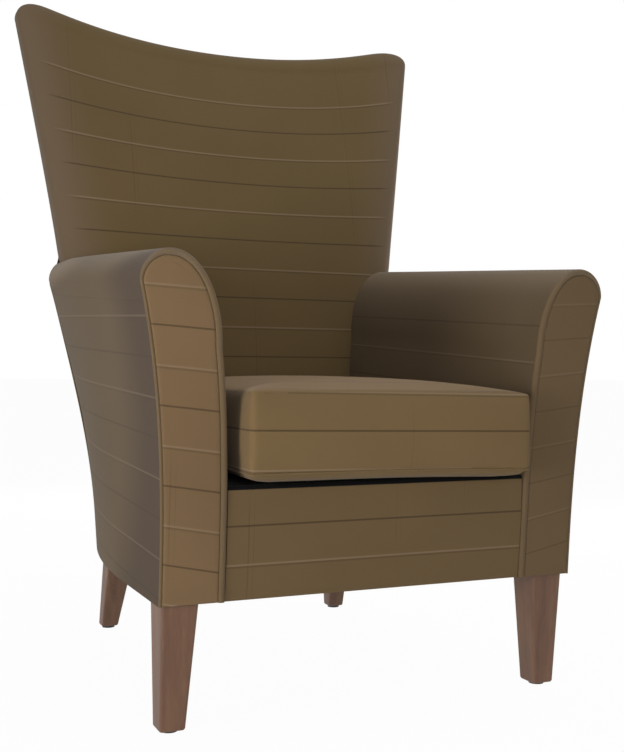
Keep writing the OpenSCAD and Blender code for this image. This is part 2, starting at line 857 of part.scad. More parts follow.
// The loose cushion: an outline with round corners, raised in rings
cushion_rear_y = seat_rear_y - cushion_rear_gap;
cushion_low = deck_z + seat_fit;
corner_steps = 5;
side_steps = 3;
function cushion_half(y) =
    side_in(y, cushion_low + cushion_under + cushion_t / 2) - cushion_gap;
first_point = 3;
function cushion_outline(inset) =
    let (loop = cushion_loop(inset), n = len(loop))
    [for (i = [0:n - 1]) loop[(i + first_point) % n]];
function cushion_loop(inset) =
    let (r = cushion_corner,
         y_a = cushion_front_y + inset,
         y_b = cushion_rear_y - inset,
         corners = [[cushion_half(y_a) - inset, y_a, 1, -1], [cushion_half(y_b) - inset, y_b, 1, 1],
                    [-cushion_half(y_b) + inset, y_b, -1, 1],
                    [-cushion_half(y_a) + inset, y_a, -1, -1]])
    [for (c = [0:3])
        let (p = corners[c],
             q = corners[(c + 1) % 4],
             start = 90 * c - 90,
             centre = [p[0] - p[2] * r, p[1] - p[3] * r],
             next = [q[0] - q[2] * r, q[1] - q[3] * r],
             turn = [cos(start + 90), sin(start + 90)] * r)
        each concat(
            [for (i = [0:corner_steps])
                centre + r * [cos(start + 90 * i / corner_steps),
                              sin(start + 90 * i / corner_steps)]],
            [for (i = [1:side_steps])
                mix(centre + turn, next + turn, i / (side_steps + 1))])];

seam_draw_share = 2 * cushion_draw / seat_w;
cushion_ring_shares = [
    [0.35, 0, 0, 0], [0.8, 0, 0, 0], [0.93, 0.22, 0, 0], [0.975, 0.6, 0, 0],
    [1 - seam_draw_share, 1, 0, 0], [1 - seam_draw_share / 4, 1, 0.2, 0], [1, 1, 0.36, 0],
    [1, 1, 0.64, 0], [1 - seam_draw_share / 4, 1, 0.82, 0], [1 - seam_draw_share, 1, 1, 0],
    [0.93, 1, 1, 0.45], [0.8, 1, 1, 0.75], [0.55, 1, 1, 0.94], [0.25, 1, 1, 1]];
module cushion_form(inset = 0) {
    outline = cushion_outline(inset);
    y_mid = (cushion_front_y + cushion_rear_y) / 2;
    total = cushion_under + cushion_t + cushion_crown;
    squeeze = 1 - 2 * inset / total;
    loft([for (ring = cushion_ring_shares)
        let (rise = ring[1] * cushion_under + ring[2] * cushion_t + ring[3] * cushion_crown)
        [for (p = outline)
            [p[0] * ring[0], y_mid + (p[1] - y_mid) * ring[0],
             cushion_low + inset + rise * squeeze]]]);
}

module cushion_cover() {
    color(cloth)
        placed()
            difference() {
                cushion_form();
                cushion_form(inset = cushion_skin);
                translate([-zip_l / 2 + over, cushion_rear_y - 2 * cushion_skin,
                           zip_z - coil_w / 2])
                    cube([zip_l - 2 * over, 3 * cushion_skin, coil_w]);
            }
}

module cushion_foam() {
    color(foam)
        placed()
            cushion_form(inset = cushion_skin + fit);
}

// The zip lies along the cushion's rear face
zip_z = cushion_low + cushion_under + cushion_t / 2;
tape_t = seat_fit + cushion_skin / 4;
coil_w = zip_w / 5;
coil_t = tape_t;
slider_l = zip_w / 2;
slider_wall = tape_t;
pull_l = 0.8 * zip_w;
module cushion_zip() {
    color(dark_cloth)
        placed()
            translate([0, cushion_rear_y + seat_fit, zip_z]) {
                translate([-zip_l / 2, 0, -zip_w / 2])
                    cube([zip_l, tape_t, zip_w]);
                translate([-zip_l / 2, 0, -coil_w / 2])
                    cube([zip_l, tape_t + coil_t, coil_w]);
            }
}

// The slider straddles the zip's coil at the left end and carries a pull
module zip_slider() {
    y_a = cushion_rear_y + seat_fit + tape_t + seat_fit;
    wide = coil_w + 2 * slider_wall + 2 * seat_fit;
    deep = coil_t + slider_wall;
    color(metal)
        placed()
            translate([-zip_l / 2 + slider_l / 2, y_a, zip_z]) {
                difference() {
                    translate([0, 0, -wide / 2])
                        cube([slider_l, deep, wide]);
                    translate([-over, -over, -coil_w / 2 - seat_fit])
                        cube([slider_l + 2 * over, coil_t + over, coil_w + 2 * seat_fit]);
                }
                translate([slider_l / 4, deep - slider_wall, -pull_l])
                    cube([slider_l / 2, slider_wall, pull_l - coil_w / 2]);
            }
}

// A tapered leg with softened edges, drilled for its bolt and its glide's nail
edge_steps = 3;
function leg_ring(centre, size, z) =
    [for (c = [0:3], i = [0:edge_steps])
        let (sx = c == 0 || c == 3 ? 1 : -1,
             sy = c < 2 ? 1 : -1,
             a = 90 * (c + i / edge_steps))
        [centre[0] + sx * (size[0] / 2 - leg_edge_r) + leg_edge_r * cos(a),
         centre[1] + sy * (size[1] / 2 - leg_edge_r) + leg_edge_r * sin(a), z]];

module leg(top, top_size, foot, foot_size, bolt) {
    bevel = leg_edge_r / 2;
    small = [foot_size[0] - bevel, foot_size[1] - bevel];
    lower = mix(foot, top, bevel / base_z);
    color(leg_wood)
        placed()
            difference() {
                loft([leg_ring(foot, small, glide_t), leg_ring(lower, foot_size, glide_t + bevel),
                      leg_ring(top, top_size, base_z)]);
                translate([bolt[0], bolt[1], base_z - bolt_in_leg - over])
                    cylinder(d = bolt_d + 2 * hole_fit, h = bolt_in_leg + 2 * over);
                translate([foot[0], foot[1], glide_t - over])
                    cylinder(d = nail_d + 2 * hole_fit, h = nail_l + 2 * over, $fn = 24);
            }
}

front_top = [front_leg_x, front_leg_y];
front_foot = [front_foot_x, 0];
rear_top = [rear_leg_x, rear_leg_y];
rear_foot = [rear_leg_x + rear_leg_splay, rear_leg_y + rear_leg_rake];
module front_leg(side) {
    both_sides(side)
        leg(front_top, [leg_top_w, leg_top_d], front_foot, [leg_foot_w, leg_foot_d], front_bolt);
}

module rear_leg(side) {
    both_sides(side)
        leg(rear_top, [rear_leg_top, rear_leg_top], rear_foot, [rear_leg_foot, rear_leg_foot],
            rear_bolt);
}

// Steel plates lie between the legs and the posts
module leg_plates() {
    color(metal)
        placed()
            for (side = [-1, 1], at = [front_bolt, rear_bolt])
                translate([side * at[0], at[1], base_z])
                    difference() {
                        translate([-plate_w / 2, -plate_w / 2, 0])
                            cube([plate_w, plate_w, plate_t]);
                        translate([0, 0, -over])
                            cylinder(d = bolt_d + 2 * hole_fit, h = plate_t + 2 * over);
                    }
}

module leg_bolts() {
    color(metal)
        placed()
            for (side = [-1, 1], at = [front_bolt, rear_bolt])
                translate([side * at[0], at[1], base_z - bolt_in_leg])
                    cylinder(d = bolt_d, h = bolt_in_leg + plate_t + bolt_in_post);
}

module leg_glides() {
    color(dark_cloth)
        placed()
            for (side = [-1, 1], at = [front_foot, rear_foot])
                translate([side * at[0], at[1], 0]) {
                    cylinder(d = glide_d, h = glide_t);
                    cylinder(d = nail_d, h = glide_t + nail_l, $fn = 24);
                }
}

front_rail();
rear_rail();
seat_rail(-1);  // left_seat_rail
seat_rail(1);  // right_seat_rail
corner_blocks();
front_post(-1);  // left_front_post
front_post(1);  // right_front_post
arm_rail(-1);  // left_arm_rail
arm_rail(1);  // right_arm_rail
stuffing_rail(-1);  // left_stuffing_rail
stuffing_rail(1);  // right_stuffing_rail
back_post(-1);  // left_back_post
back_post(1);  // right_back_post
back_top_rail();
back_lower_rail();
back_webbing();
seat_springs();
spring_clips();
seat_deck();
dust_cover();
inside_back();
outside_back();
inside_arm(-1);  // left_inside_arm
inside_arm(1);  // right_inside_arm
outside_arm(-1);  // left_outside_arm
outside_arm(1);  // right_outside_arm
arm_front(-1);  // left_arm_front
arm_front(1);  // right_arm_front
front_border();
cushion_cover();
cushion_foam();
cushion_zip();
zip_slider();
front_leg(-1);  // front_left_leg
front_leg(1);  // front_right_leg
rear_leg(-1);  // rear_left_leg
rear_leg(1);  // rear_right_leg
leg_plates();
leg_bolts();
leg_glides();
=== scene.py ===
# A fireside chair with a winged back, flared arms, a loose box cushion and tapered wooden legs.
import math

import bmesh
import bpy
import numpy as np
from mathutils import Matrix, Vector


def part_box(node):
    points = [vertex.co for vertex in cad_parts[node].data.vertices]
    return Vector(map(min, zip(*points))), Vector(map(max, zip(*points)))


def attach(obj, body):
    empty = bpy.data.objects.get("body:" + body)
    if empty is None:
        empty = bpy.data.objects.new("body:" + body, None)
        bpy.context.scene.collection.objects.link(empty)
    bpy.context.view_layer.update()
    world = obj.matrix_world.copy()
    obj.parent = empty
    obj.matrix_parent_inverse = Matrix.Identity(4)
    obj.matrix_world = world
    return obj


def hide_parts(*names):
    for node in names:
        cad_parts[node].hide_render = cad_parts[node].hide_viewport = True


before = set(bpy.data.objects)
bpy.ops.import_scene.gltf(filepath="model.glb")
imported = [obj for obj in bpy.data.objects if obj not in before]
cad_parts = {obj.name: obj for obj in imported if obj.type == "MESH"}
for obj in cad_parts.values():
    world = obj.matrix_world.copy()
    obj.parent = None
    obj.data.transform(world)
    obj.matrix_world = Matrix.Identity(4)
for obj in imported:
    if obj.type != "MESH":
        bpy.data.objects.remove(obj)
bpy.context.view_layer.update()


# The beech frame
# Sawn beech rails, posts, arm rails and corner blocks, glued and screwed together.
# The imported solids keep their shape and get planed, unfinished wood along each member.
def add(made, kind, inputs=(), **settings):
    """Adds a shader node; inputs are pairs of a socket and its value or what it is linked to."""
    new = made.node_tree.nodes.new("ShaderNode" + kind)
    for name, value in settings.items():
        setattr(new, name, value)
    for name, value in inputs:
        if isinstance(value, bpy.types.NodeSocket):
            made.node_tree.links.new(value, new.inputs[name])
        else:
            new.inputs[name].default_value = value
    return new


def shade(red, green, blue):
    """A colour as it is seen on a screen, 0 to 255, turned into the shader's linear values."""
    def one(level):
        level = level / 255
        return level / 12.92 if level <= 0.04045 else ((level + 0.055) / 1.055) ** 2.4

    return (one(red), one(green), one(blue), 1.0)


def new_finish(name, roughness, **sockets):
    """A new material, and its shader with the given sockets set, Sheen_Weight for Sheen Weight."""
    made = bpy.data.materials.new(name)
    made.use_nodes = True
    shader = made.node_tree.nodes["Principled BSDF"]
    shader.inputs["Roughness"].default_value = roughness
    for socket, value in sockets.items():
        shader.inputs[socket.replace("_", " ")].default_value = value
    return made, shader


def link(made, out, shader, socket):
    made.node_tree.links.new(out, shader.inputs[socket])


def calc(made, operation, *values):
    """A sum on shader values, such as MULTIPLY."""
    return add(made, "Math", list(enumerate(values)), operation=operation).outputs[0]


def object_place(made):
    return add(made, "TexCoord").outputs["Object"]


def noise(made, place, scale, detail, **more):
    """Noise of a scale along each axis, or of one scale for all three."""
    if not isinstance(scale, float):
        place = add(made, "Mapping", [("Vector", place), ("Scale", scale)]).outputs["Vector"]
        scale = 1.0
    return add(made, "TexNoise", [("Vector", place), ("Scale", scale), ("Detail", detail),
                                  *more.items()]).outputs["Fac"]


def raise_by(made, shader, height, strength, depth):
    """Lets a pattern stand out of the surface."""
    bump = add(made, "Bump", [("Height", height), ("Strength", strength), ("Distance", depth)])
    link(made, bump.outputs["Normal"], shader, "Normal")


def ramp(made, level, stops):
    """Colours along a value from 0 to 1, each stop a place and a colour."""
    new = add(made, "ValToRGB", [("Fac", level)])
    keys = new.color_ramp.elements
    while len(keys) < len(stops):
        keys.new(0.5)
    for key, (place, colour) in zip(keys, stops):
        key.position = place
        key.color = colour
    return new.outputs["Color"]


def wood(name, along, dark, middle, pale, roughness):
    """Straight-grained wood whose fibres run along X, Y or Z, given as 0, 1 or 2."""
    made, shader = new_finish(name, roughness)
    place = object_place(made)

    def streaks(across, lengthways, detail):
        scale = [across] * 3
        scale[along] = lengthways
        return noise(made, place, scale, detail, Roughness=0.6)

    year_rings = streaks(42, 2.2, 4)
    pores = streaks(620, 16, 2)
    grain = calc(made, "MULTIPLY_ADD", pores, 0.22, calc(made, "MULTIPLY", year_rings, 0.78))
    colour = ramp(made, grain, [(0.36, dark), (0.5, middle), (0.64, pale)])
    link(made, colour, shader, "Base Color")
    raise_by(made, shader, pores, 0.12, 0.0004)
    return made


def coat_node(node, made):
    """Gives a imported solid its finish."""
    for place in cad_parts[node].material_slots:
        place.material = made


beech = [wood("Beech_along_" + "XYZ"[axis], axis, shade(186, 148, 108), shade(206, 172, 132),
              shade(222, 192, 156), 0.62) for axis in range(3)]
for node, along in [("front_rail", 0), ("rear_rail", 0), ("back_top_rail", 0),
                    ("back_lower_rail", 0), ("corner_blocks", 0),
                    ("left_seat_rail", 1), ("right_seat_rail", 1), ("left_arm_rail", 1),
                    ("right_arm_rail", 1), ("left_stuffing_rail", 1), ("right_stuffing_rail", 1),
                    ("left_front_post", 2), ("right_front_post", 2), ("left_back_post", 2),
                    ("right_back_post", 2)]:
    coat_node(node, beech[along])


# Springs, clips and back webbing
# Zigzag springs of hard-drawn wire run in clips nailed to the rails, and elastic webbing
# crosses the back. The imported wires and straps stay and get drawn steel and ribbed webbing.
def tone(colour, share):
    """The same colour, darker below a share of 1 and lighter above it."""
    return tuple(min(1.0, share * part) for part in colour[:3]) + (1.0,)


def pattern(made, shader, level, stops, strength, depth):
    """Colours a surface by a pattern's level and lets the pattern stand out."""
    link(made, ramp(made, level, stops), shader, "Base Color")
    raise_by(made, shader, level, strength, depth)
    return made


def steel(name, colour, roughness, scratch):
    """Drawn or rolled steel with fine marks."""
    made, shader = new_finish(name, roughness, Metallic=1.0)
    marks = noise(made, object_place(made), scratch, 3.0)
    return pattern(made, shader, marks, [(0.3, tone(colour, 0.72)), (0.7, colour)], 0.1, 0.0002)


def waves(made, pitch, axis):
    """Even ridges across one axis, a pitch apart."""
    return add(made, "TexWave", [("Vector", object_place(made)), ("Scale", 1 / pitch / 20)],
               bands_direction=axis).outputs["Fac"]


def ribbed(name, colour, rib, axis):
    """Woven tape or webbing with ribs across one axis."""
    made, shader = new_finish(name, 0.85, Sheen_Weight=0.25)
    return pattern(made, shader, waves(made, rib, axis),
                   [(0.1, tone(colour, 0.5)), (0.8, colour)], 0.4, 0.0003)


spring_steel = steel("Drawn_steel", shade(176, 176, 182), 0.34, 900.0)
for node in ["seat_springs", "spring_clips", "leg_plates", "leg_bolts"]:
    coat_node(node, spring_steel)
coat_node("back_webbing", ribbed("Elastic_webbing", shade(48, 44, 40), 0.003, "Z"))


# The seat deck
# A thin pad under black cloth, stretched over the springs and tacked to the rails. The cushion
# lies on it, and its front edge shows as the black line under the cushion: black cloth, and in
# part a painted shadow.
base_z = 0.167
front_w = 0.616
arm_w = 0.086
seat_w = front_w - 2 * arm_w
foot_setback = 0.042
mid_y = 0.308322
deck_z = 0.314
deck_t = 0.012
seat_rear_y = 0.478
fit = 0.0004
border_inset = 0.004
border_t = 0.012
arm_h = 0.609
arm_in_flare = 0.037
seat_taper = 0.022
front_slope = math.tan(math.radians(4))


def front_y(z):
    return -foot_setback - front_slope * (z - base_z)


def arm_top(y):
    return arm_h + front_slope * (y - front_y(arm_h))


def mix(a, b, share):
    return a + (b - a) * share


def up_share(y, z):
    return np.clip((z - base_z) / (arm_top(y) - base_z), 0, 1)


seat_d = seat_rear_y - front_y(deck_z)


def side_in(y, z):
    """The inner side of an arm, out from the chair's middle."""
    return (seat_w / 2 + arm_in_flare * up_share(y, z) ** 3.3
            - seat_taper * np.maximum(0, y - front_y(z)) / seat_d)


def read(items, name, size=1, kind=float):
    """A value of each point, face or face corner of a mesh, a row for each."""
    values = np.empty(len(items) * size, kind)
    items.foreach_get(name, values)
    return values.reshape(-1, size) if size > 1 else values


def point_of_corner(mesh):
    return read(mesh.loops, "vertex_index", kind=np.int32)


def lay_cloth(mesh, places):
    """Gives each face corner of a mesh the cloth's own place."""
    mesh.uv_layers.new(name="cloth").data.foreach_set("uv", places.ravel())


def put_up(name, mesh, finish):
    """Turns a skin's normals outwards, covers it and puts it in the scene."""
    shape = bmesh.new()
    shape.from_mesh(mesh)
    bmesh.ops.recalc_face_normals(shape, faces=shape.faces)
    shape.to_mesh(mesh)
    shape.free()
    mesh.shade_smooth()
    mesh.materials.append(finish)
    piece = bpy.data.objects.new(name, mesh)
    bpy.context.scene.collection.objects.link(piece)
    return piece


def loft(name, rings, finish, cloth=None, sharp=40):
    """Skins a closed form through equal rings, measured from the front feet. Each end is closed
    by strips between the ring's two halves. cloth gives the cloth's own place at each point."""
    rings = np.array(rings, float)
    rings[..., 1] -= mid_y
    count, around = rings.shape[:2]
    index = np.arange(count * around).reshape(count, around)
    after = np.roll(index, -1, axis=1)
    faces = np.stack([index[:-1], after[:-1], after[1:], index[1:]], -1).reshape(-1, 4).tolist()
    for ring, step in ((index[0], 1), (index[-1], -1)):
        for i in range(around // 2 - 1):
            strip = [ring[i], ring[around - 1 - i], ring[around - 2 - i], ring[i + 1]]
            faces.append([int(point) for point in strip[::step]])
    mesh = bpy.data.meshes.new(name)
    mesh.from_pydata(rings.reshape(-1, 3).tolist(), [], faces)
    if cloth is not None:
        lay_cloth(mesh, cloth.reshape(-1, 2)[point_of_corner(mesh)])
    piece = put_up(name, mesh, finish)
    mesh.set_sharp_from_angle(angle=math.radians(sharp))
    return piece


def upholster(piece, node, body="chair"):
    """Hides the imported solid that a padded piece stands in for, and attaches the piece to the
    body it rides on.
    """
    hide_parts(node)
    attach(piece, body)


def plain_cloth(name, colour, thread):
    """A plain, matt woven cloth."""
    made, shader = new_finish(name, 0.95, Sheen_Weight=0.02, Specular_IOR_Level=0.15)
    threads = calc(made, "MULTIPLY", waves(made, thread, "X"), waves(made, thread, "Y"))
    return pattern(made, shader, threads, [(0.0, tone(colour, 0.6)), (0.6, colour)], 0.35, 0.0003)


def flat_ring(y, half, mid_z, half_t):
    """A level pad's cross-section at y: along its top and back along its bottom."""
    turns = np.linspace(-math.pi / 2, math.pi / 2, 48)
    bulge = np.abs(np.cos(turns)) ** 0.12
    top, bottom = [np.stack([half * np.sin(turns), np.full(len(turns), y),
                             mid_z + way * half_t * bulge], -1) for way in (1, -1)]
    return np.concatenate([top, bottom[::-1]])


deck_front = front_y(deck_z - deck_t) + border_inset + border_t + fit
deck_rear = seat_rear_y - fit
deck_edge = 0.005
deck_rings = []
for share in np.linspace(0, 1, 50):
    y = mix(deck_front, deck_rear, share)
    near = min(y - deck_front, deck_rear - y) / deck_edge
    full = math.sqrt(max(0.0, 1 - (1 - min(1, near)) ** 2))
    half = side_in(y, deck_z - deck_t) - 2 * fit - 0.8 * deck_edge * (1 - full)
    deck_rings.append(flat_ring(y, half, deck_z - deck_t / 2, deck_t / 2 * max(0.25, full)))
# Black platform cloth, made near black so that it also paints the shade in the gap under the
# cushion's front.
deck_cloth = plain_cloth("Black_deck_cloth", shade(16, 16, 16), 0.0012)
deck = loft("Seat_deck_pad", deck_rings, deck_cloth)
upholster(deck, "seat_deck")


# The inside back
# One padded cover over the back's bandsawn posts: foam on webbing, rolled over the top and the
# wings. It is built hollow behind, round the posts and straps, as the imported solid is.
back_h = 1.108
wing_w = 0.786
waist_w = 0.620
back_rake = 0.158
top_roll = 0.039
tip_r = 0.068
back_pad = 0.040
back_top_t = 0.078
side_roll = 0.022
cover_t = 0.014
lumbar_z = deck_z + 0.088
wing_rise = 0.040
wing_curl = 0.048
crest_in = 0.050
rear_w = 0.506
rear_y = 0.622 - foot_setback
rear_slope = math.tan(math.radians(4.6))
arm_flare = 0.044
join_z = arm_top(rear_y)
waist_drop = 0.046
waist_z = join_z - waist_drop
back_low = deck_z - deck_t + 2 * fit
shoulder_z = back_h - top_roll
section_power = 4.5
check_pitch = 0.106
thread_pitch = 0.0016


def rear_face(z):
    return rear_y + rear_slope * (z - base_z)


rear_sweep = seat_rear_y + back_rake + back_top_t - rear_face(back_h)


def weave(u, v):
    """The cloth's own place, from how far across it and how far along it a point lies."""
    return np.stack(np.broadcast_arrays(u, v), -1)


def rearward(y, z):
    """0 until the sides begin to curve in towards the rear, 1 at the rear."""
    start = rear_y * mix(0.22, 0.53, up_share(y, z))
    return np.maximum(0, (y - start) / (rear_y - start)) ** 2


def side_out(y, z):
    """The outer side of the body, out from the chair's middle."""
    up = up_share(y, z)
    tuck = (front_w - rear_w) / 2 * mix(1, 0.42, up)
    return front_w / 2 + arm_flare * up ** 2.7 - tuck * rearward(y, z)


def rise_share(z):
    return np.clip((z - waist_z) / (back_h - waist_z), 0, 1)


def back_front(z):
    return seat_rear_y + back_rake * np.maximum(0, (z - lumbar_z) / (back_h - lumbar_z)) ** 1.6


def back_rear(z):
    return rear_face(z) + rear_sweep * rise_share(z) ** 2


def back_half(z):
    """Half the back's width: between the arms below, then flared up to the wings."""
    waist = side_out(rear_y, waist_z) - cover_t - fit
    flare = mix(waist, waist_w / 2, np.clip((z - waist_z) / waist_drop, 0, 1))
    flare = flare + (wing_w - waist_w) / 2 * rise_share(z) ** 1.1
    return np.where(z < waist_z, side_out(rear_y, z) - cover_t - fit, flare)


def rounded(share):
    """How far out a rounded box's skin is at a share of its half width."""
    return (1 - np.abs(share) ** section_power) ** (1 / section_power)


def wing(x, z):
    """How far forward the back curls towards its wings."""
    return wing_curl * rise_share(z) * np.minimum(1, np.abs(x) / (wing_w / 2)) ** 3


def lift(x, z):
    """How far the back's levels rise towards its wings and dip between them."""
    return wing_rise * rise_share(z) ** 2 * ((x / (wing_w / 2 - crest_in)) ** 2 - 1)


def plain_above(height, last):
    """Stretches the cloth between two lines, so that no line shows above the height last."""
    return np.where(height > last, last + 0.17 * (height - last), height)


def back_cloth_place(points):
    """The checks' place on the back: their lines rise towards the wings."""
    x, z = points[..., 0], points[..., 2]
    height = z - 0.075 * np.maximum(0, z - 0.64) * (x / 0.3) ** 2
    return weave(x, plain_above(height, 0.985))


# Half a rounded box's outline, from its left rear, round the front, to its right rear
corner = 0.5 ** (1 / section_power)
roll_share = 0.93
wall = np.linspace(rounded(roll_share), -corner, 16)
face_x = np.linspace(-corner, corner, 70)[1:-1]
outline_x = np.concatenate([-rounded(wall), face_x, rounded(wall)[::-1]])
outline_y = np.concatenate([wall, -rounded(face_x), wall[::-1]])
half_count = len(outline_x)
inner_wall = 8
inner_t = np.concatenate([np.ones(inner_wall), np.linspace(1, -1, half_count - 2 * inner_wall),
                          -np.ones(inner_wall)])
inner_in = np.concatenate([np.linspace(0, 1, inner_wall, endpoint=False),
                           np.ones(half_count - 2 * inner_wall),
                           np.linspace(0, 1, inner_wall, endpoint=False)[::-1]])


def back_ring(z, half, y_front, y_rear, hollow):
    """One level of the back: its padded outside, then its hollow or its solid rear."""
    middle, half_t = (y_front + y_rear) / 2, (y_rear - y_front) / 2
    inner_x = half * roll_share * inner_t
    inner_y = middle + half_t * rounded(roll_share * inner_t)
    if hollow:
        inner_x = (half - side_roll) * inner_t
        inner_y = mix(inner_y, y_front + back_pad, inner_in)
    x = np.concatenate([half * outline_x, inner_x])
    y = np.concatenate([middle + half_t * outline_y, inner_y])
    return np.stack([x, y - wing(x, z), z + lift(x, z)], -1)


hollow_top = shoulder_z - wing_rise
levels = [(z, True) for z in np.linspace(back_low, hollow_top, 84)]
levels += [(hollow_top + 0.0015, False)]
levels += [(z, False) for z in np.linspace(hollow_top, shoulder_z, 6)[1:]]
back_rings = [back_ring(z, back_half(z), back_front(z), back_rear(z), hollow)
              for z, hollow in levels]
for angle in np.radians(np.linspace(6, 87, 15)):
    z = shoulder_z + top_roll * math.sin(angle)
    thin = (back_rear(shoulder_z) - back_front(shoulder_z)) / 2 * (1 - math.cos(angle))
    half = back_half(shoulder_z) - tip_r * (1 - math.cos(angle))
    back_rings.append(back_ring(z, half, back_front(shoulder_z) + thin,
                                back_rear(shoulder_z) - thin, False))
back_rings = np.array(back_rings)


def lines_at(made, level, place, width):
    """1 on a line that repeats every check, 0 beside it."""
    off = calc(made, "WRAP", level, place - check_pitch / 2, place + check_pitch / 2)
    off = calc(made, "ABSOLUTE", calc(made, "SUBTRACT", off, place))
    return add(made, "MapRange", [("Value", off), ("From Min", width * 0.35), ("From Max", width),
                                  ("To Min", 1.0), ("To Max", 0.0)],
               interpolation_type="SMOOTHSTEP").outputs["Result"]


def blend_colour(made, share, below, above):
    return add(made, "Mix", [(0, share), (6, below), (7, above)], data_type="RGBA").outputs[2]


pale_thread = shade(156, 135, 112)
dark_thread = shade(54, 40, 24)


def check_cloth(name, ground, lines=1.0, tints=(), fade=None):
    """Plain-woven cloth with thin pale and dark lines across and faint lines upright. lines is
    how strongly they show. Each tint is a direction, how far along it the tint starts and is
    full, and its colour; fade is a direction and the same two places, where the lines end."""
    made, shader = new_finish(name, 0.86, Sheen_Weight=0.08, Sheen_Roughness=0.45,
                              Specular_IOR_Level=0.25)
    place = add(made, "UVMap", uv_map="cloth").outputs["UV"]
    parts = add(made, "SeparateXYZ", [("Vector", place)]).outputs
    across, height = parts["X"], parts["Y"]

    def times(level, share):
        return calc(made, "MULTIPLY", level, share)

    def beyond(level, start, end):
        return add(made, "MapRange", [("Value", level), ("From Min", start), ("From Max", end)],
                   interpolation_type="SMOOTHSTEP").outputs["Result"]

    deep = tone(ground, 0.93)
    blotches = noise(made, place, (4, 5, 1), 2.0)
    colour = ramp(made, blotches, [(0.3, deep), (0.7, tone(ground, 1.05))])
    slubs = times(noise(made, place, (70, 1500, 1), 2.0), 0.3)
    colour = blend_colour(made, slubs, colour, tone(deep, 0.7))
    patchy = beyond(noise(made, place, (5, 3, 1), 1.0), 0.5, 0.64)
    spot = add(made, "SeparateXYZ", [("Vector", object_place(made))]).outputs
    mirrored = add(made, "CombineXYZ", [("X", calc(made, "ABSOLUTE", spot["X"])),
                                        ("Y", spot["Y"]), ("Z", spot["Z"])]).outputs["Vector"]

    def towards(direction, start, end):
        level = add(made, "VectorMath", [(0, mirrored), (1, direction)],
                    operation="DOT_PRODUCT").outputs["Value"]
        return beyond(level, start, end)

    for direction, start, end, tint in tints:
        colour = blend_colour(made, towards(direction, start, end), colour, tint)
    if fade:
        lines = times(calc(made, "SUBTRACT", 1.0, towards(*fade)), lines)
    for at, width, share in ((0.02, 0.0014, 0.22), (0.027, 0.001, 0.12)):
        upright = times(times(times(lines_at(made, across, at, width), share), lines), patchy)
        colour = blend_colour(made, upright, colour, dark_thread)
    for at, width, share, thread in ((0.0042, 0.0022, 0.3, dark_thread),
                                     (0.0068, 0.0019, 0.36, pale_thread),
                                     (0.060, 0.0018, 0.66, dark_thread)):
        level = times(times(lines_at(made, height, at, width), share), lines)
        colour = blend_colour(made, level, colour, thread)
    link(made, colour, shader, "Base Color")
    threads = [calc(made, "SINE", times(level, 2 * math.pi / thread_pitch))
               for level in (across, height)]
    raise_by(made, shader, times(*threads), 0.16, 0.0003)
    return made


# Painted sheen: towards the wings the back's cloth turns a paler, greyer brown, as grazing light
# makes it. Its ground is set darker than the cushion's as painted shade.
to_wings = (1, 0, -0.166)
back_cloth = check_cloth("Check_cloth_back", shade(105, 86, 54),
                         tints=[(to_wings, 0.10, 0.215, shade(109, 91, 71))],
                         fade=(to_wings, 0.155, 0.19))
inside_back = loft("Inside_back_cover", back_rings, back_cloth, back_cloth_place(back_rings))
upholster(inside_back, "inside_back")


# The outside back
# A thin padded panel of the same cloth, slip-stitched behind the posts from wing to wing. Its
# lower part reaches over the rear ends of the arms.
panel_t = 0.006
panel_gap = 0.0016
panel_in = 0.005
panel_puff = 0.0015
arm_roll = 0.122
arm_shoulder = 0.040
arm_peak = 0.64


def arm_side(y, z):
    """The padded outer side of an arm: the body's side, fuller high up towards the rear."""
    high = np.clip((z - 0.22) / 0.34, 0, 1)
    return side_out(y, z) + rearward(y, z) * mix(-0.004, 0.012, high * high * (3 - 2 * high))


def panel_half(z):
    """Half the panel's width: over the arms' rolled ends, then between the back's rolled sides."""
    up = np.clip((z - join_z + arm_shoulder) / arm_shoulder, 0, 1)
    outer = arm_side(rear_y, np.minimum(z, join_z - arm_shoulder))
    peak = mix(side_in(rear_y, join_z - arm_roll), outer, arm_peak)
    over_arms = peak + np.sqrt(1 - up ** 2) * (outer - peak) - panel_in
    behind_back = back_half(z) - mix(0.003, top_roll / 2, np.clip((z - join_z) / 0.07, 0, 1))
    return np.where(z < waist_z, over_arms,
                    np.where(z < join_z, np.maximum(over_arms, behind_back), behind_back))


def panel_y(x, z):
    """The plane behind the arms' ends below, the back's rolled rear above."""
    middle, half_t = (back_front(z) + back_rear(z)) / 2, (back_rear(z) - back_front(z)) / 2
    share = np.minimum(1, np.abs(x) / back_half(z))
    rolled = middle + half_t * rounded(share) - wing(x, z)
    return mix(back_rear(z), rolled, np.clip((z - join_z) / 0.012 + 1, 0, 1)) + panel_gap


def soften(piece, width, segments=3):
    """Rounds a piece's sharp edges, as padding under cloth does."""
    bevel = piece.modifiers.new("edge", "BEVEL")
    bevel.width = width
    bevel.segments = segments
    bevel.limit_method = "ANGLE"
    bevel.angle_limit = math.radians(50)


across = np.sin(np.linspace(-math.pi / 2, math.pi / 2, 61))
panel_rings = []
for z in [*np.linspace(base_z, join_z, 44), *np.linspace(join_z, shoulder_z, 46)[1:]]:
    x = panel_half(z) * across
    y = panel_y(x, z)
    puff = panel_puff * (1 - across ** 4)
    near = np.stack([x, y, z + lift(x, z)], -1)
    far = np.stack([x, y + panel_t - panel_puff + puff, z + lift(x, z)], -1)
    panel_rings.append(np.concatenate([near, far[::-1]]))
panel_rings = np.array(panel_rings)
outside_back = loft("Outside_back_cover", panel_rings, back_cloth, back_cloth_place(panel_rings))
soften(outside_back, 0.002)
upholster(outside_back, "outside_back")


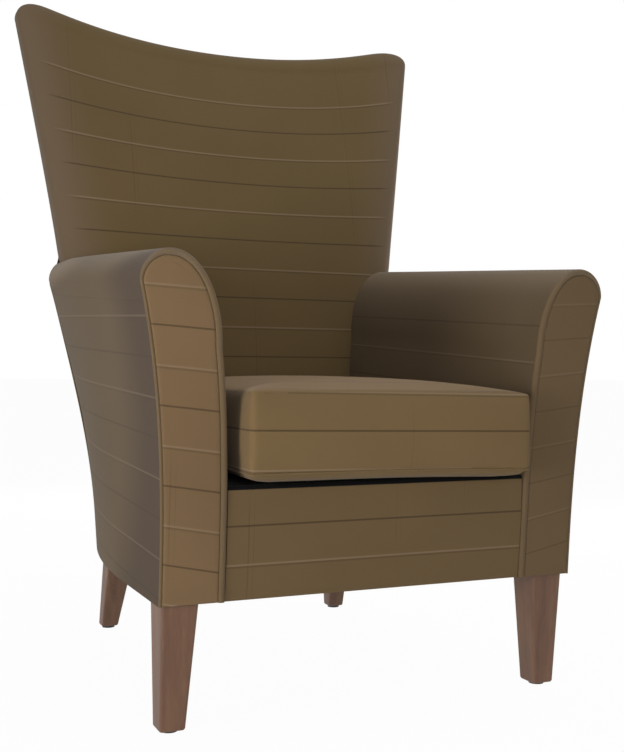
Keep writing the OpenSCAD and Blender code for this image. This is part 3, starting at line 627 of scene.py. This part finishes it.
# The arms
# Each inside arm is a padded cover that comes up from the seat, rolls over the arm's top and
# ends under the roll, where the outside arm takes over down to the base. At the front both turn
# in over a narrow rolled rim. Their rear ends stop at the back's padded front.
arm_wrap = 0.066
rim_w = 0.009
facing_t = 0.014
front_of_arm = front_y(arm_h)
rear_of_arm = rear_face(arm_h)
LOW_IN, HIGH_IN, ROLL_IN, ROLL_OUT, WRAP, SIDE_OUT, WHOLE_OUT = range(7)


def arm_points(kind, t, share, inset, low, cut):
    """Points of an arm's cross-section at a share of its length, drawn in by inset. kind says
    which stretch of the section each point lies on, and t where it lies there."""
    y_mid = mix(front_of_arm, rear_of_arm, share)
    top = arm_top(y_mid)
    z_in, z_out = top - arm_roll, top - arm_shoulder
    x_in, x_out = side_in(y_mid, z_in), arm_side(y_mid, z_out)
    peak = mix(x_in, x_out, arm_peak)
    rise, run = np.sin(t), np.cos(t)
    z = np.select(
        [kind == LOW_IN, kind == HIGH_IN, kind == ROLL_IN, kind == ROLL_OUT, kind == WRAP,
         kind == SIDE_OUT],
        [mix(low, back_low, t), mix(back_low, z_in, t), z_in + (arm_roll - inset) * rise,
         z_out + (arm_shoulder - inset) * rise, mix(z_out, top - arm_wrap, t),
         mix(top - arm_wrap - 0.0001, low, t)], mix(z_out, low, t))
    x = np.select(
        [kind <= HIGH_IN, kind == ROLL_IN, kind == ROLL_OUT],
        [side_in(y_mid, z) + inset, peak - run * (peak - x_in - inset),
         peak + run * (x_out - inset - peak)], arm_side(y_mid, z) - inset)
    return np.stack([x, mix(front_y(z) + cut, rear_face(z), share), z], -1)


def stretch(kind, places):
    return np.full(len(places), kind), np.asarray(places)


def path(*stretches):
    """Joins stretches of a section into one path of kinds and places."""
    return [np.concatenate(part) for part in zip(*stretches)]


def back_stop(kind, t, inset, cut):
    """The share of an arm's length at which each point of its section meets the back."""
    shares = np.linspace(0.4, 1, 601)
    points = arm_points(kind, t, shares[:, None], inset, base_z, cut)
    x, y, z = points[..., 0], points[..., 1], points[..., 2]
    middle, half_t = (back_front(z) + back_rear(z)) / 2, (back_rear(z) - back_front(z)) / 2
    reach = np.minimum(1, np.abs(x) / back_half(z))
    skin = middle - half_t * rounded(reach) - wing(x, z)
    inside = (reach < 1) & (y > skin - fit) & (z > back_low - cover_t)
    first = np.where(inside.any(0), inside.argmax(0), len(shares))
    return shares[np.maximum(0, first - 1)]


rim_r = rim_w / 2
rim_out = 0.001
rim_cut = rim_r - rim_out
rim_end = (facing_t - rim_cut) / (rear_of_arm - front_of_arm)
rim_narrow = 0.4
rear_round = 0.006
start_round = 1 - rear_round / (rear_of_arm - front_of_arm)
quarter = np.radians(np.linspace(0, 90, 23))


def rim_share(kind, t):
    """The rim is full on an arm's inner side and narrows over its top to the outer side."""
    over_top = mix(rim_narrow, 1, t / quarter[-1])
    return np.select([kind <= ROLL_IN, kind == ROLL_OUT], [np.ones(len(t)), over_top], rim_narrow)


def arm_cover(name, side, kind, t, low, v_at, finish):
    """One padded cover of an arm, with its rolled front rim, its lining and its end at the back."""
    stops = [back_stop(kind, t, inset, rim_cut) for inset in (0.0, cover_t)]
    rim = rim_w * rim_share(kind, t)
    stations = [(0.0, 0.0, rim, base_z), (rim_end, 0.0, rim, base_z)]
    stations += [(share, 0.0, cover_t, low)
                 for share in np.linspace(rim_end + 0.001, start_round, 70)]
    stations += [(mix(start_round, 1, math.sin(a)), rear_round * (1 - math.cos(a)), cover_t, low)
                 for a in np.radians([20, 38, 54, 68, 80, 90])]
    # Only where an arm's rear end stands free of the back is it rounded off
    free = np.pad((stops[0] > 0.999).astype(float), 5, mode="edge")
    free = np.clip(2 * np.convolve(free, np.ones(11) / 11, "valid") - 1, 0, 1)
    rings, cloth = [], []
    for share, drawn_in, lining, floor in stations:
        outer = arm_points(kind, t, np.minimum(share, stops[0]), drawn_in * free, floor, rim_cut)
        inner = arm_points(kind, t, np.minimum(share, stops[1]), lining, floor, rim_cut)
        rings.append(np.concatenate([outer, inner[::-1]]))
        v = v_at(outer, kind)
        cloth.append(weave(rings[-1][:, 1], np.concatenate([v, v[::-1]])))
    piece = loft(name, np.array(rings) * (side, 1, 1), finish, np.array(cloth))
    shape = bmesh.new()
    shape.from_mesh(piece.data)
    bmesh.ops.remove_doubles(shape, verts=shape.verts, dist=0.00002)
    shape.to_mesh(piece.data)
    shape.free()
    piece.data.set_sharp_from_angle(angle=math.radians(40))
    return piece


def inside_v(points, kind):
    """The checks' height on an inside arm: level on its side, then round the roll."""
    y, z = points[:, 1], points[:, 2]
    level = 0.590 + 1.06 * (z - 0.538 - 0.065 * (y - 0.151))
    steps = np.concatenate([[0], np.linalg.norm(np.diff(points, axis=0), axis=1)])
    along = np.cumsum(steps)
    turn = np.argmax(kind == ROLL_IN)
    round_roll = np.where(kind >= ROLL_IN, level[turn] + along - along[turn], level)
    return np.minimum(plain_above(round_roll, 0.600), 0.630)


def outside_v(points, kind):
    y, z = points[:, 1], points[:, 2]
    return 0.537 + 1.06 * (z - 0.528 - 0.04 * (y + 0.020))


# Painted light: the arms' tops and the rims over them are tinted lighter, as light from above makes
# them.
lit_top_tint = ((0, -0.07, 1), 0.590, 0.634, shade(114, 97, 75))
# Painted light: the outside arms turn paler high up and towards the rear, as grazing light and
# sheen make them.
lit_outside_tint = ((1, 0.1, 1), 0.945, 0.985, shade(138, 120, 98))
# Painted shade: the arms' ground is darker than the cushion's, the same cloth shaded, and the last
# tint darkens the outside arms near their front edge.
arm_cloth = check_cloth("Check_cloth_arms", shade(99, 82, 59), 0.6,
                        [lit_top_tint, lit_outside_tint,
                         ((1, -0.25, -0.12), 0.305, 0.35, shade(74, 58, 42))])
inside_path = path(stretch(LOW_IN, np.linspace(0, 1, 12, endpoint=False)),
                   stretch(HIGH_IN, np.linspace(0, 1, 30, endpoint=False)),
                   stretch(ROLL_IN, quarter), stretch(ROLL_OUT, quarter[::-1][1:]),
                   stretch(WRAP, np.linspace(0, 1, 9)[1:]))
outside_path = path(stretch(SIDE_OUT, np.linspace(0, 1, 56)))
for side, name in ((-1, "Left"), (1, "Right")):
    inside_arm = arm_cover(name + "_inside_arm_cover", side, *inside_path, back_low, inside_v,
                           arm_cloth)
    outside_arm = arm_cover(name + "_outside_arm_cover", side, *outside_path, base_z, outside_v,
                            arm_cloth)
    soften(inside_arm, 0.0003, 2)
    soften(outside_arm, 0.0003, 2)
    upholster(inside_arm, name.lower() + "_inside_arm")
    upholster(outside_arm, name.lower() + "_outside_arm")


# The arm fronts
# A rolled rim of the cloth, filled with wadding, runs round the front edge of each arm. Inside it
# a padded panel, cut to the arm's section and domed, is slip-stitched.
front_path = path(stretch(LOW_IN, np.linspace(0, 1, 12, endpoint=False)),
                  stretch(HIGH_IN, np.linspace(0, 1, 30, endpoint=False)),
                  stretch(ROLL_IN, quarter), stretch(ROLL_OUT, quarter[::-1]),
                  stretch(WHOLE_OUT, np.linspace(0, 1, 43)[1:]))
groove = 0.0016
rim_back = rim_cut + 0.002
rim_section = []
for a in np.radians(np.linspace(0, 180, 15)):
    edge_cut = rim_cut if a < math.pi / 2 else groove
    rim_section.append((rim_r * (1 - math.cos(a)),
                        edge_cut * (1 - math.sin(a)) - rim_out * math.sin(a)))
rim_section += [(inset, rim_back) for inset in (rim_w, rim_r, 0.0002)]
rim_cloth = check_cloth("Check_cloth_rims", shade(112, 92, 66), 0.0, [lit_top_tint])
# Painted light and shade: the same cloth, lighter on the left arm's front and darker on the right
# one's, as the light from the left falls off.
facing_cloth = {-1: check_cloth("Check_cloth_left_front", shade(125, 100, 70), 0.9),
                1: check_cloth("Check_cloth_right_front", shade(110, 90, 63), 0.4)}
narrow = rim_share(*front_path)
for side, name in ((-1, "Left"), (1, "Right")):
    around = np.array([arm_points(*front_path, 0.0, inset * narrow, base_z,
                                  mix(groove, cut, narrow) if cut < groove else cut)
                       for inset, cut in rim_section])
    rings = around.transpose(1, 0, 2) * (side, 1, 1)
    u = np.linspace(0, 1.1, len(rings))[:, None]
    rim = loft(name + "_arm_rim", rings, rim_cloth,
               weave(u, np.linspace(0.02, 0.036, len(rim_section))), sharp=60)
    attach(rim, "chair")

    rings = []
    for more, cut in [(0.0, facing_t), (0.0, groove), (0.0003, 0.0011), (0.0009, 0.0007),
                      (0.002, 0.0004), (0.004, 0.0002), (0.009, 0.0001)]:
        inset = rim_w * narrow + 0.0002 + more
        rings.append(arm_points(*front_path, 0.0, inset, base_z + 0.0002 + more, cut))
    edge_ring = rings[-1]
    for share, cut in [(0.25, 0.0001), (0.5, -0.0001), (0.75, -0.0002), (0.97, -0.0002)]:
        ring = mix(edge_ring, (edge_ring + edge_ring[::-1]) / 2, share)
        ring[:, 1] = front_y(ring[:, 2]) + cut
        rings.append(ring)
    rings = np.array(rings)
    # The checks fall towards the panel's inner side, more so low down
    x, z = rings[..., 0], rings[..., 2]
    fall = mix(0.012, 0.004, (z - 0.22) / 0.295)
    level = z + fall * (0.310 - x) / 0.06 + (0.005 if side > 0 else 0)
    rings[..., 0] *= side
    facing = loft(name + "_arm_front", rings, facing_cloth[side],
                  weave(rings[..., 0], 0.537 + 1.084 * (level - 0.564)))
    upholster(facing, name.lower() + "_arm_front")


# The front border
# A strip of the cloth over wadding, stretched down the front rail between the arms and turned
# under it. Its top edge rolls back onto the deck.
border_cloth = check_cloth("Check_cloth_border", shade(112, 91, 61))
border_half = seat_w / 2 - 2 * fit
border_roll = 0.006
border_section = [(z, -0.0022 * math.sin(math.pi * (z - base_z) / (deck_z - base_z)))
                  for z in np.linspace(base_z + 0.003, deck_z - border_roll, 30)]
front_line = [(front_y(z) + border_inset + puff, z) for z, puff in border_section]
front_line = [(front_line[0][0] + 0.0012, base_z)] + front_line
for angle in np.radians(np.linspace(0, 90, 9)[1:]):
    y, z = front_line[30]
    front_line.append((y + border_roll * (1 - math.cos(angle)), z + border_roll * math.sin(angle)))
front_line = np.array(front_line)
rear_line = np.stack([front_y(front_line[:, 1]) + border_inset + border_t, front_line[:, 1]], -1)
section = np.concatenate([front_line, rear_line[::-1]])
border_rings = np.array([np.column_stack([np.full(len(section), x), section])
                         for x in np.linspace(-border_half, border_half, 50)])
border = loft("Front_border_cover", border_rings, border_cloth,
              weave(border_rings[..., 0], 0.219 + 1.06 * (border_rings[..., 2] - 0.213)))
# Painted shadow: the border's top roll takes the black deck cloth, so that the gap under the
# cushion's front reads black.
border.data.materials.append(deck_cloth)
for face in border.data.polygons:
    face.material_index = int(face.center.z > deck_z - 0.0045)
soften(border, 0.0012, 2)
upholster(border, "front_border")


# The dust cover
# Thin black cloth stapled under the seat rails, notched round the leg plates. It hangs a little
# between the rails.
dust_thick = 0.0006
dust_in = 0.0224
dust_hang = 0.0011
dust_low, dust_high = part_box("dust_cover")
plates_low, plates_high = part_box("leg_plates")
plate_w = 0.040
front_notch = plates_low.y + plate_w + 2 * fit
rear_notch = plates_high.y - plate_w - 2 * fit
front_room = plates_high.x - plate_w - 2 * fit
rear_room = 0.1783
dust_rows = ([(y, front_room) for y in np.linspace(dust_low.y, front_notch, 6)]
             + [(y, 1.0) for y in np.linspace(front_notch + 0.0005, rear_notch - 0.0005, 60)]
             + [(y, rear_room) for y in np.linspace(rear_notch, dust_high.y, 8)])
across = np.linspace(-1, 1, 41)
dust_rings, dust_area, before = [], 0.0, None
for y, room in dust_rows:
    half = min(side_out(y + mid_y, base_z) - dust_in, room)
    from_edge = min(y - dust_low.y, dust_high.y - y) / 0.1
    hang = dust_hang * min(1, from_edge) * (1 - across ** 4)
    under = np.stack([half * across, np.full(len(across), y + mid_y),
                      dust_high.z - dust_thick - hang], -1)
    over = under + (0, 0, dust_thick)
    dust_rings.append(np.concatenate([under, over[::-1]]))
    if before:
        dust_area += (y - before[0]) * (half + before[1])
    before = (y, half)
dust_cloth = plain_cloth("Black_dust_cloth", shade(20, 20, 21), 0.0009)
dust = loft("Dust_cloth", dust_rings, dust_cloth)
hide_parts("dust_cover")
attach(dust, "chair")


# The legs
# Four tapered legs in red-brown stained hardwood, the rear pair raked back, bolted up through a
# steel plate. Black plastic glides are nailed under the feet.
leg_finish = wood("Stained_leg_wood", 2, shade(94, 63, 44), shade(108, 75, 53),
                  shade(122, 89, 65), 0.5)
for node in ["front_left_leg", "front_right_leg", "rear_left_leg", "rear_right_leg"]:
    coat_node(node, leg_finish)


def moulded(name, colour, roughness):
    """Moulded plastic with a fine texture."""
    made, shader = new_finish(name, roughness)
    grain = noise(made, object_place(made), 1800.0, 2.0)
    return pattern(made, shader, grain, [(0.35, tone(colour, 0.8)), (0.65, colour)], 0.2, 0.0002)


coat_node("leg_glides", moulded("Glide_plastic", shade(38, 37, 36), 0.5))


# The cushion
# A loose box cushion: a foam block in a cover of top and bottom panels, joined by a border with
# a welt in its lower seam. A cloth simulation puffs the cover up, held at its seams, its underside
# and its front corners.
cushion_t = 0.101
cushion_crown = 0.015
cushion_under = 0.018
cushion_low = deck_z + 0.0003
cushion_corner = 0.004
corner_square = 0.85
corner_reach = 0.035
cushion_draw = 0.007
cushion_gap = 0.004
cushion_taper = 0.013
taper_run = 0.05
cushion_front = front_y(deck_z + cushion_under + cushion_t / 2) - 0.036
cushion_rear = seat_rear_y - 0.011
cushion_mid_y = (cushion_front + cushion_rear) / 2
seam_share = 1 - 2 * cushion_draw / seat_w
low_seam_z = cushion_low + cushion_under
high_seam_z = low_seam_z + cushion_t


def cushion_half(y):
    """Half the cushion's width, clear of the arms and tapered over a short run at its front."""
    fore = np.clip((cushion_front + taper_run - y) / taper_run, 0, 1)
    return side_in(y, low_seam_z + cushion_t / 2) - cushion_gap - cushion_taper * fore


def cushion_outline(inset):
    """The cushion's plan with rounded corners, from the middle of a corner's arc."""
    along_corner, along_side = 9, 44
    y_a, y_b = cushion_front + inset, cushion_rear - inset
    ends = [(cushion_half(y_a) - inset, y_a, 1, -1), (cushion_half(y_b) - inset, y_b, 1, 1),
            (-cushion_half(y_b) + inset, y_b, -1, 1), (-cushion_half(y_a) + inset, y_a, -1, -1)]
    r = cushion_corner
    plan = []
    for turn, (x, y, right, back) in enumerate(ends):
        middle = np.array([x - right * r, y - back * r])
        for step in range(along_corner):
            angle = math.radians(90 * turn - 90 + 90 * step / (along_corner - 1))
            plan.append(middle + r * np.array([math.cos(angle), math.sin(angle)]))
        x2, y2, right2, back2 = ends[(turn + 1) % 4]
        before = plan[-1]
        after = before - middle + (x2 - right2 * r, y2 - back2 * r)
        plan += [mix(before, after, step / along_side) for step in range(1, along_side)]
    return np.roll(np.array(plan), -(along_corner // 2), axis=0)


def cushion_rings(inset, levels):
    """Rings of the cushion's plan at each level. The front corners stay square at the border."""
    plan = cushion_outline(inset)
    centre = np.array([0, cushion_mid_y])
    to_corner = np.hypot(np.abs(plan[:, 0]) - cushion_half(cushion_front),
                         plan[:, 1] - cushion_front)
    square = corner_square * np.exp(-(to_corner / corner_reach) ** 2)
    rings = []
    for share, z in levels:
        at_border = np.clip((z - low_seam_z + 0.006) / 0.012, 0, 1)
        at_border = at_border * np.clip((share - 0.9) / 0.06, 0, 1)
        grown = share + (1 - share) * square * at_border
        rings.append(np.column_stack([centre + (plan - centre) * grown[:, None],
                                      np.full(len(plan), z)]))
    return np.array(rings)


def cushion_levels(rows):
    """Levels from rows of a share of the plan and shares of the cushion's three heights."""
    return [(share, cushion_low + under * cushion_under + border * cushion_t
             + crown * cushion_crown) for share, under, border, crown in rows]


cover_rows = [(0.2, 0, 0, 0), (0.5, 0, 0, 0), (0.7, 0, 0, 0), (0.8, 0.1, 0, 0),
              (0.88, 0.3, 0, 0), (0.93, 0.42, 0, 0), (0.96, 0.56, 0, 0),
              (seam_share, 0.70, 0, 0), (seam_share + 0.012, 0.84, 0, 0),
              (seam_share + 0.015, 1, 0, 0), (0.986, 1, 0.03, 0), (0.991, 1, 0.1, 0),
              (0.996, 1, 0.2, 0), (0.999, 1, 0.35, 0), (1, 1, 0.5, 0), (0.999, 1, 0.65, 0),
              (0.996, 1, 0.8, 0), (0.991, 1, 0.9, 0), (0.983, 1, 0.97, 0),
              (seam_share, 1, 1, 0), (seam_share - 0.008, 1, 1, 0.12), (0.95, 1, 1, 0.26),
              (0.91, 1, 1, 0.42), (0.85, 1, 1, 0.58), (0.75, 1, 1, 0.74), (0.6, 1, 1, 0.88),
              (0.4, 1, 1, 0.97), (0.2, 1, 1, 1)]


def settled(piece):
    """A mesh of a piece as its modifiers shape it. They are then taken off."""
    depsgraph = bpy.context.evaluated_depsgraph_get()
    mesh = bpy.data.meshes.new_from_object(piece.evaluated_get(depsgraph))
    piece.modifiers.clear()
    return mesh


def puff_up(piece, pinned, pressure, limit, voxel):
    """Swells a closed cover like cloth over foam. Points where pinned(x, y, z) is true stay, and
    none moves further than limit."""
    even = piece.modifiers.new("even", "REMESH")
    even.mode = "VOXEL"
    even.voxel_size = voxel
    piece.data = settled(piece)
    start = read(piece.data.vertices, "co", 3)
    held = np.nonzero(pinned(*start.T))[0]
    piece.vertex_groups.new(name="seams").add(held.tolist(), 1.0, "REPLACE")
    cloth = piece.modifiers.new("cloth", "CLOTH")
    cloth.settings.vertex_group_mass = "seams"
    cloth.settings.use_pressure = True
    cloth.settings.uniform_pressure_force = pressure
    cloth.settings.effector_weights.gravity = 0
    cloth.settings.tension_stiffness = 25
    cloth.settings.compression_stiffness = 25
    cloth.settings.bending_stiffness = 2
    cloth.point_cache.frame_start = 1
    cloth.point_cache.frame_end = 20
    scene = bpy.context.scene
    for moment in range(1, 21):
        scene.frame_set(moment)
    moved = read(settled(piece).vertices, "co", 3) - start
    scene.frame_set(1)
    far = np.linalg.norm(moved, axis=1, keepdims=True)
    moved *= np.minimum(1, limit / np.maximum(far, 1e-9))
    piece.data.vertices.foreach_set("co", (start + moved).ravel())
    piece.data.update()


cushion_droop = 0.006


def sag(x, y):
    """How far the cushion's front hangs down towards its right end."""
    return cushion_droop * np.clip((x + 0.06) / 0.27, 0, 1) ** 2 * np.clip((-0.05 - y) / 0.3, 0, 1)


def cushion_cloth_place(mesh):
    """The checks across the cushion's top and down its border, by which way each face looks."""
    sizes = read(mesh.polygons, "loop_total", kind=np.int32)
    normals, middles = [np.repeat(read(mesh.polygons, name, 3), sizes, axis=0)
                        for name in ("normal", "center")]
    x, y, z = read(mesh.vertices, "co", 3)[point_of_corner(mesh)].T
    on_border = (middles[:, 2] > low_seam_z) & (middles[:, 2] < high_seam_z)
    on_side = np.abs(normals[:, 0]) > np.abs(normals[:, 1])
    u = np.where(on_border & on_side, y, x)
    v = np.where(on_border, 0.590 + 1.06 * (z - 0.383) + 0.019 * x, y - 0.039)
    return weave(u, v)


# Painted light: above the top seam the cushion's cloth is tinted lighter, as light from above makes
# its top.
cushion_finish = check_cloth("Check_cloth_cushion", shade(122, 99, 65),
                             tints=[((0, 0, 1), 0.432, 0.438, shade(136, 110, 76))])
seam_in = 0.002
cushion = loft("Cushion_cover", cushion_rings(seam_in, cushion_levels(cover_rows)), cushion_finish)
def at_seam(x, y, z):
    corner_x = cushion_half(cushion_front) - 0.008
    front_corner = (np.abs(x) > corner_x) & (y < cushion_front - mid_y + 0.008)
    return (np.abs(z - high_seam_z) < 0.004) | (z < low_seam_z + 0.004) | front_corner

puff_up(cushion, at_seam, pressure=3, limit=0.004, voxel=0.0055)
cushion_points = read(cushion.data.vertices, "co", 3)
cushion_points[:, 2] -= sag(cushion_points[:, 0], cushion_points[:, 1])
cushion.data.vertices.foreach_set("co", cushion_points.ravel())
lay_cloth(cushion.data, cushion_cloth_place(cushion.data))
cushion.data.shade_smooth()
round_off = cushion.modifiers.new("smooth", "SUBSURF")
round_off.levels = round_off.render_levels = 1
upholster(cushion, "cushion_cover", body="cushion")


def tube(name, line, radius, finish):
    """A closed welt of round section along a closed line of points."""
    ahead = np.roll(line, -1, axis=0) - np.roll(line, 1, axis=0)
    ahead /= np.linalg.norm(ahead, axis=1, keepdims=True)
    side = np.cross(ahead, [0, 0, 1.0])
    side /= np.linalg.norm(side, axis=1, keepdims=True)
    up = np.cross(side, ahead)
    turn = np.linspace(0, 2 * math.pi, 10, endpoint=False)
    points = (line[:, None] + radius * (np.cos(turn)[None, :, None] * side[:, None]
                                        + np.sin(turn)[None, :, None] * up[:, None]))
    points[..., 1] -= mid_y
    index = np.arange(len(line) * len(turn)).reshape(len(line), -1)
    on, over = np.roll(index, -1, axis=0), np.roll(index, -1, axis=1)
    both = np.roll(on, -1, axis=1)
    faces = np.stack([index, over, both, on], -1).reshape(-1, 4)
    mesh = bpy.data.meshes.new(name)
    mesh.from_pydata(points.reshape(-1, 3).tolist(), [], faces.tolist())
    along = np.concatenate([[0], np.cumsum(np.linalg.norm(np.diff(line, axis=0), axis=1))])
    places = weave(along[:, None], turn * radius + 0.02).reshape(-1, 2)
    lay_cloth(mesh, places[point_of_corner(mesh)])
    return put_up(name, mesh, finish)


line = cushion_rings(seam_in, [(seam_share + 0.0155, low_seam_z - 0.001)])[0]
line[:, 2] -= sag(line[:, 0], line[:, 1] - mid_y)
welt = tube("Cushion_low_welt", line, 0.0012, cushion_finish)
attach(welt, "cushion")

foam_rows = [row for row in cover_rows if row[0] != 0.5]
foam_skin = 0.0034


def foam_finish():
    """Open-cell upholstery foam, cream with small pores."""
    made, shader = new_finish("Cushion_foam", 0.95)
    cells = add(made, "TexVoronoi", [("Vector", object_place(made)), ("Scale", 500.0)])
    return pattern(made, shader, cells.outputs["Distance"],
                   [(0.1, shade(196, 182, 138)), (0.6, shade(240, 228, 188))], 0.5, 0.0006)


height = cushion_under + cushion_t + cushion_crown
foam_levels = [(share, cushion_low + foam_skin + (z - cushion_low) * (1 - 2 * foam_skin / height))
               for share, z in cushion_levels(foam_rows)]
foam_rings = cushion_rings(seam_in + foam_skin, foam_levels)
foam_rings[..., 2] -= sag(foam_rings[..., 0], foam_rings[..., 1] - mid_y)
foam = loft("Cushion_foam_block", foam_rings, foam_finish())
upholster(foam, "cushion_foam", "cushion")


# The zip
# A zip along the border's rear face, through which the foam goes in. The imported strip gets
# ribbed tape and its slider gets brass.
coat_node("cushion_zip", ribbed("Zip_tape", shade(40, 34, 28), 0.0012, "X"))
coat_node("zip_slider", steel("Zip_brass", shade(176, 150, 96), 0.36, 1500.0))


# The floor, the light and the camera
# A white studio floor, soft lamps to the left and in front, more above, behind and to the right,
# and the photograph's viewpoint.
def in_view(made):
    """1 where a surface is seen by the camera, directly, mirrored or through something."""
    rays = add(made, "LightPath").outputs
    seen = calc(made, "MAXIMUM", rays["Is Camera Ray"], rays["Is Glossy Ray"])
    return calc(made, "MAXIMUM", seen, rays["Is Transmission Ray"])


def show(made, output, share, below, above):
    """Mixes two shaders by a share and shows them at the output."""
    both = add(made, "MixShader", [("Fac", share), (1, below), (2, above)])
    link(made, both.outputs["Shader"], made.node_tree.nodes[output], "Surface")


floor_mesh = bpy.data.meshes.new("Floor")
floor_half = 40.0
floor_mesh.from_pydata([(floor_half * x, floor_half * y, 0)
                        for x, y in ((-1, -1), (1, -1), (1, 1), (-1, 1))], [], [(0, 1, 2, 3)])
floor = bpy.data.objects.new("Floor", floor_mesh)
bpy.context.scene.collection.objects.link(floor)
white_glow = 0.97
floor_finish, floor_shader = new_finish("White_floor", 1.0, Base_Color=(0.86, 0.86, 0.86, 1),
                                        Specular_IOR_Level=0.0)
glow = add(floor_finish, "Emission", [("Color", (1, 1, 1, 1)), ("Strength", 1.0)])
glow_share = calc(floor_finish, "MULTIPLY", in_view(floor_finish), white_glow)
show(floor_finish, "Material Output", glow_share, floor_shader.outputs["BSDF"],
     glow.outputs["Emission"])
floor_mesh.materials.append(floor_finish)

world = bpy.data.worlds.new("Studio")
bpy.context.scene.world = world
world.use_nodes = True
sky = world.node_tree.nodes["Background"]
plain = add(world, "Background", [("Color", (1, 1, 1, 1))])
sky.inputs["Color"].default_value = (0.96, 0.97, 1.0, 1)
sky.inputs["Strength"].default_value = 0.20
show(world, "World Output", in_view(world), sky.outputs["Background"],
     plain.outputs["Background"])


def softbox(name, place, aim, size, power):
    """A large soft lamp that looks at a point."""
    lamp = bpy.data.lights.new(name, "AREA")
    lamp.shape = "RECTANGLE"
    lamp.size, lamp.size_y = size
    lamp.energy = power
    holder = bpy.data.objects.new(name, lamp)
    bpy.context.scene.collection.objects.link(holder)
    x, y, z = np.array(aim) - np.array(place)
    holder.location = place
    holder.rotation_euler = (math.atan2(math.hypot(x, y), -z), 0, math.atan2(-x, y))


softbox("Front_softbox", (-0.45, -1.85, 0.75), (-0.1, 0, 0.55), (0.8, 0.8), 7.5)
softbox("Left_softbox", (-1.7, -0.9, 0.42), (-0.2, 0, 0.5), (0.7, 0.7), 14.5)
softbox("Top_softbox", (0.5, -0.5, 2.4), (0, 0, 0.5), (1.4, 1.4), 14)
softbox("Rear_softbox", (0.4, 2.4, 1.2), (0, 0.3, 0.5), (1.2, 1.2), 24)
softbox("Right_softbox", (2.2, 0.8, 0.9), (0.3, 0, 0.5), (1.0, 1.0), 20)

lens = bpy.data.cameras.new("Camera")
camera = bpy.data.objects.new("Camera", lens)
bpy.context.scene.collection.objects.link(camera)
bpy.context.scene.camera = camera
camera_turn = math.radians(23.91)
camera_roll = math.radians(0.42)
photo_height = 752
focal_length = 1092.48
centre_down = 7.59
camera.matrix_world = (Matrix.Translation((-0.68337, -1.65643, 0.46375))
                       @ Matrix.Rotation(-camera_turn, 4, "Z")
                       @ Matrix.Rotation(math.pi / 2, 4, "X")
                       @ Matrix.Rotation(camera_roll, 4, "Z"))
lens.sensor_width = 36
lens.lens = focal_length * lens.sensor_width / photo_height
lens.shift_y = -centre_down / photo_height
lens.dof.use_dof = False
lens.clip_start, lens.clip_end = 0.01, 100

bpy.context.scene.view_settings.view_transform = "Standard"
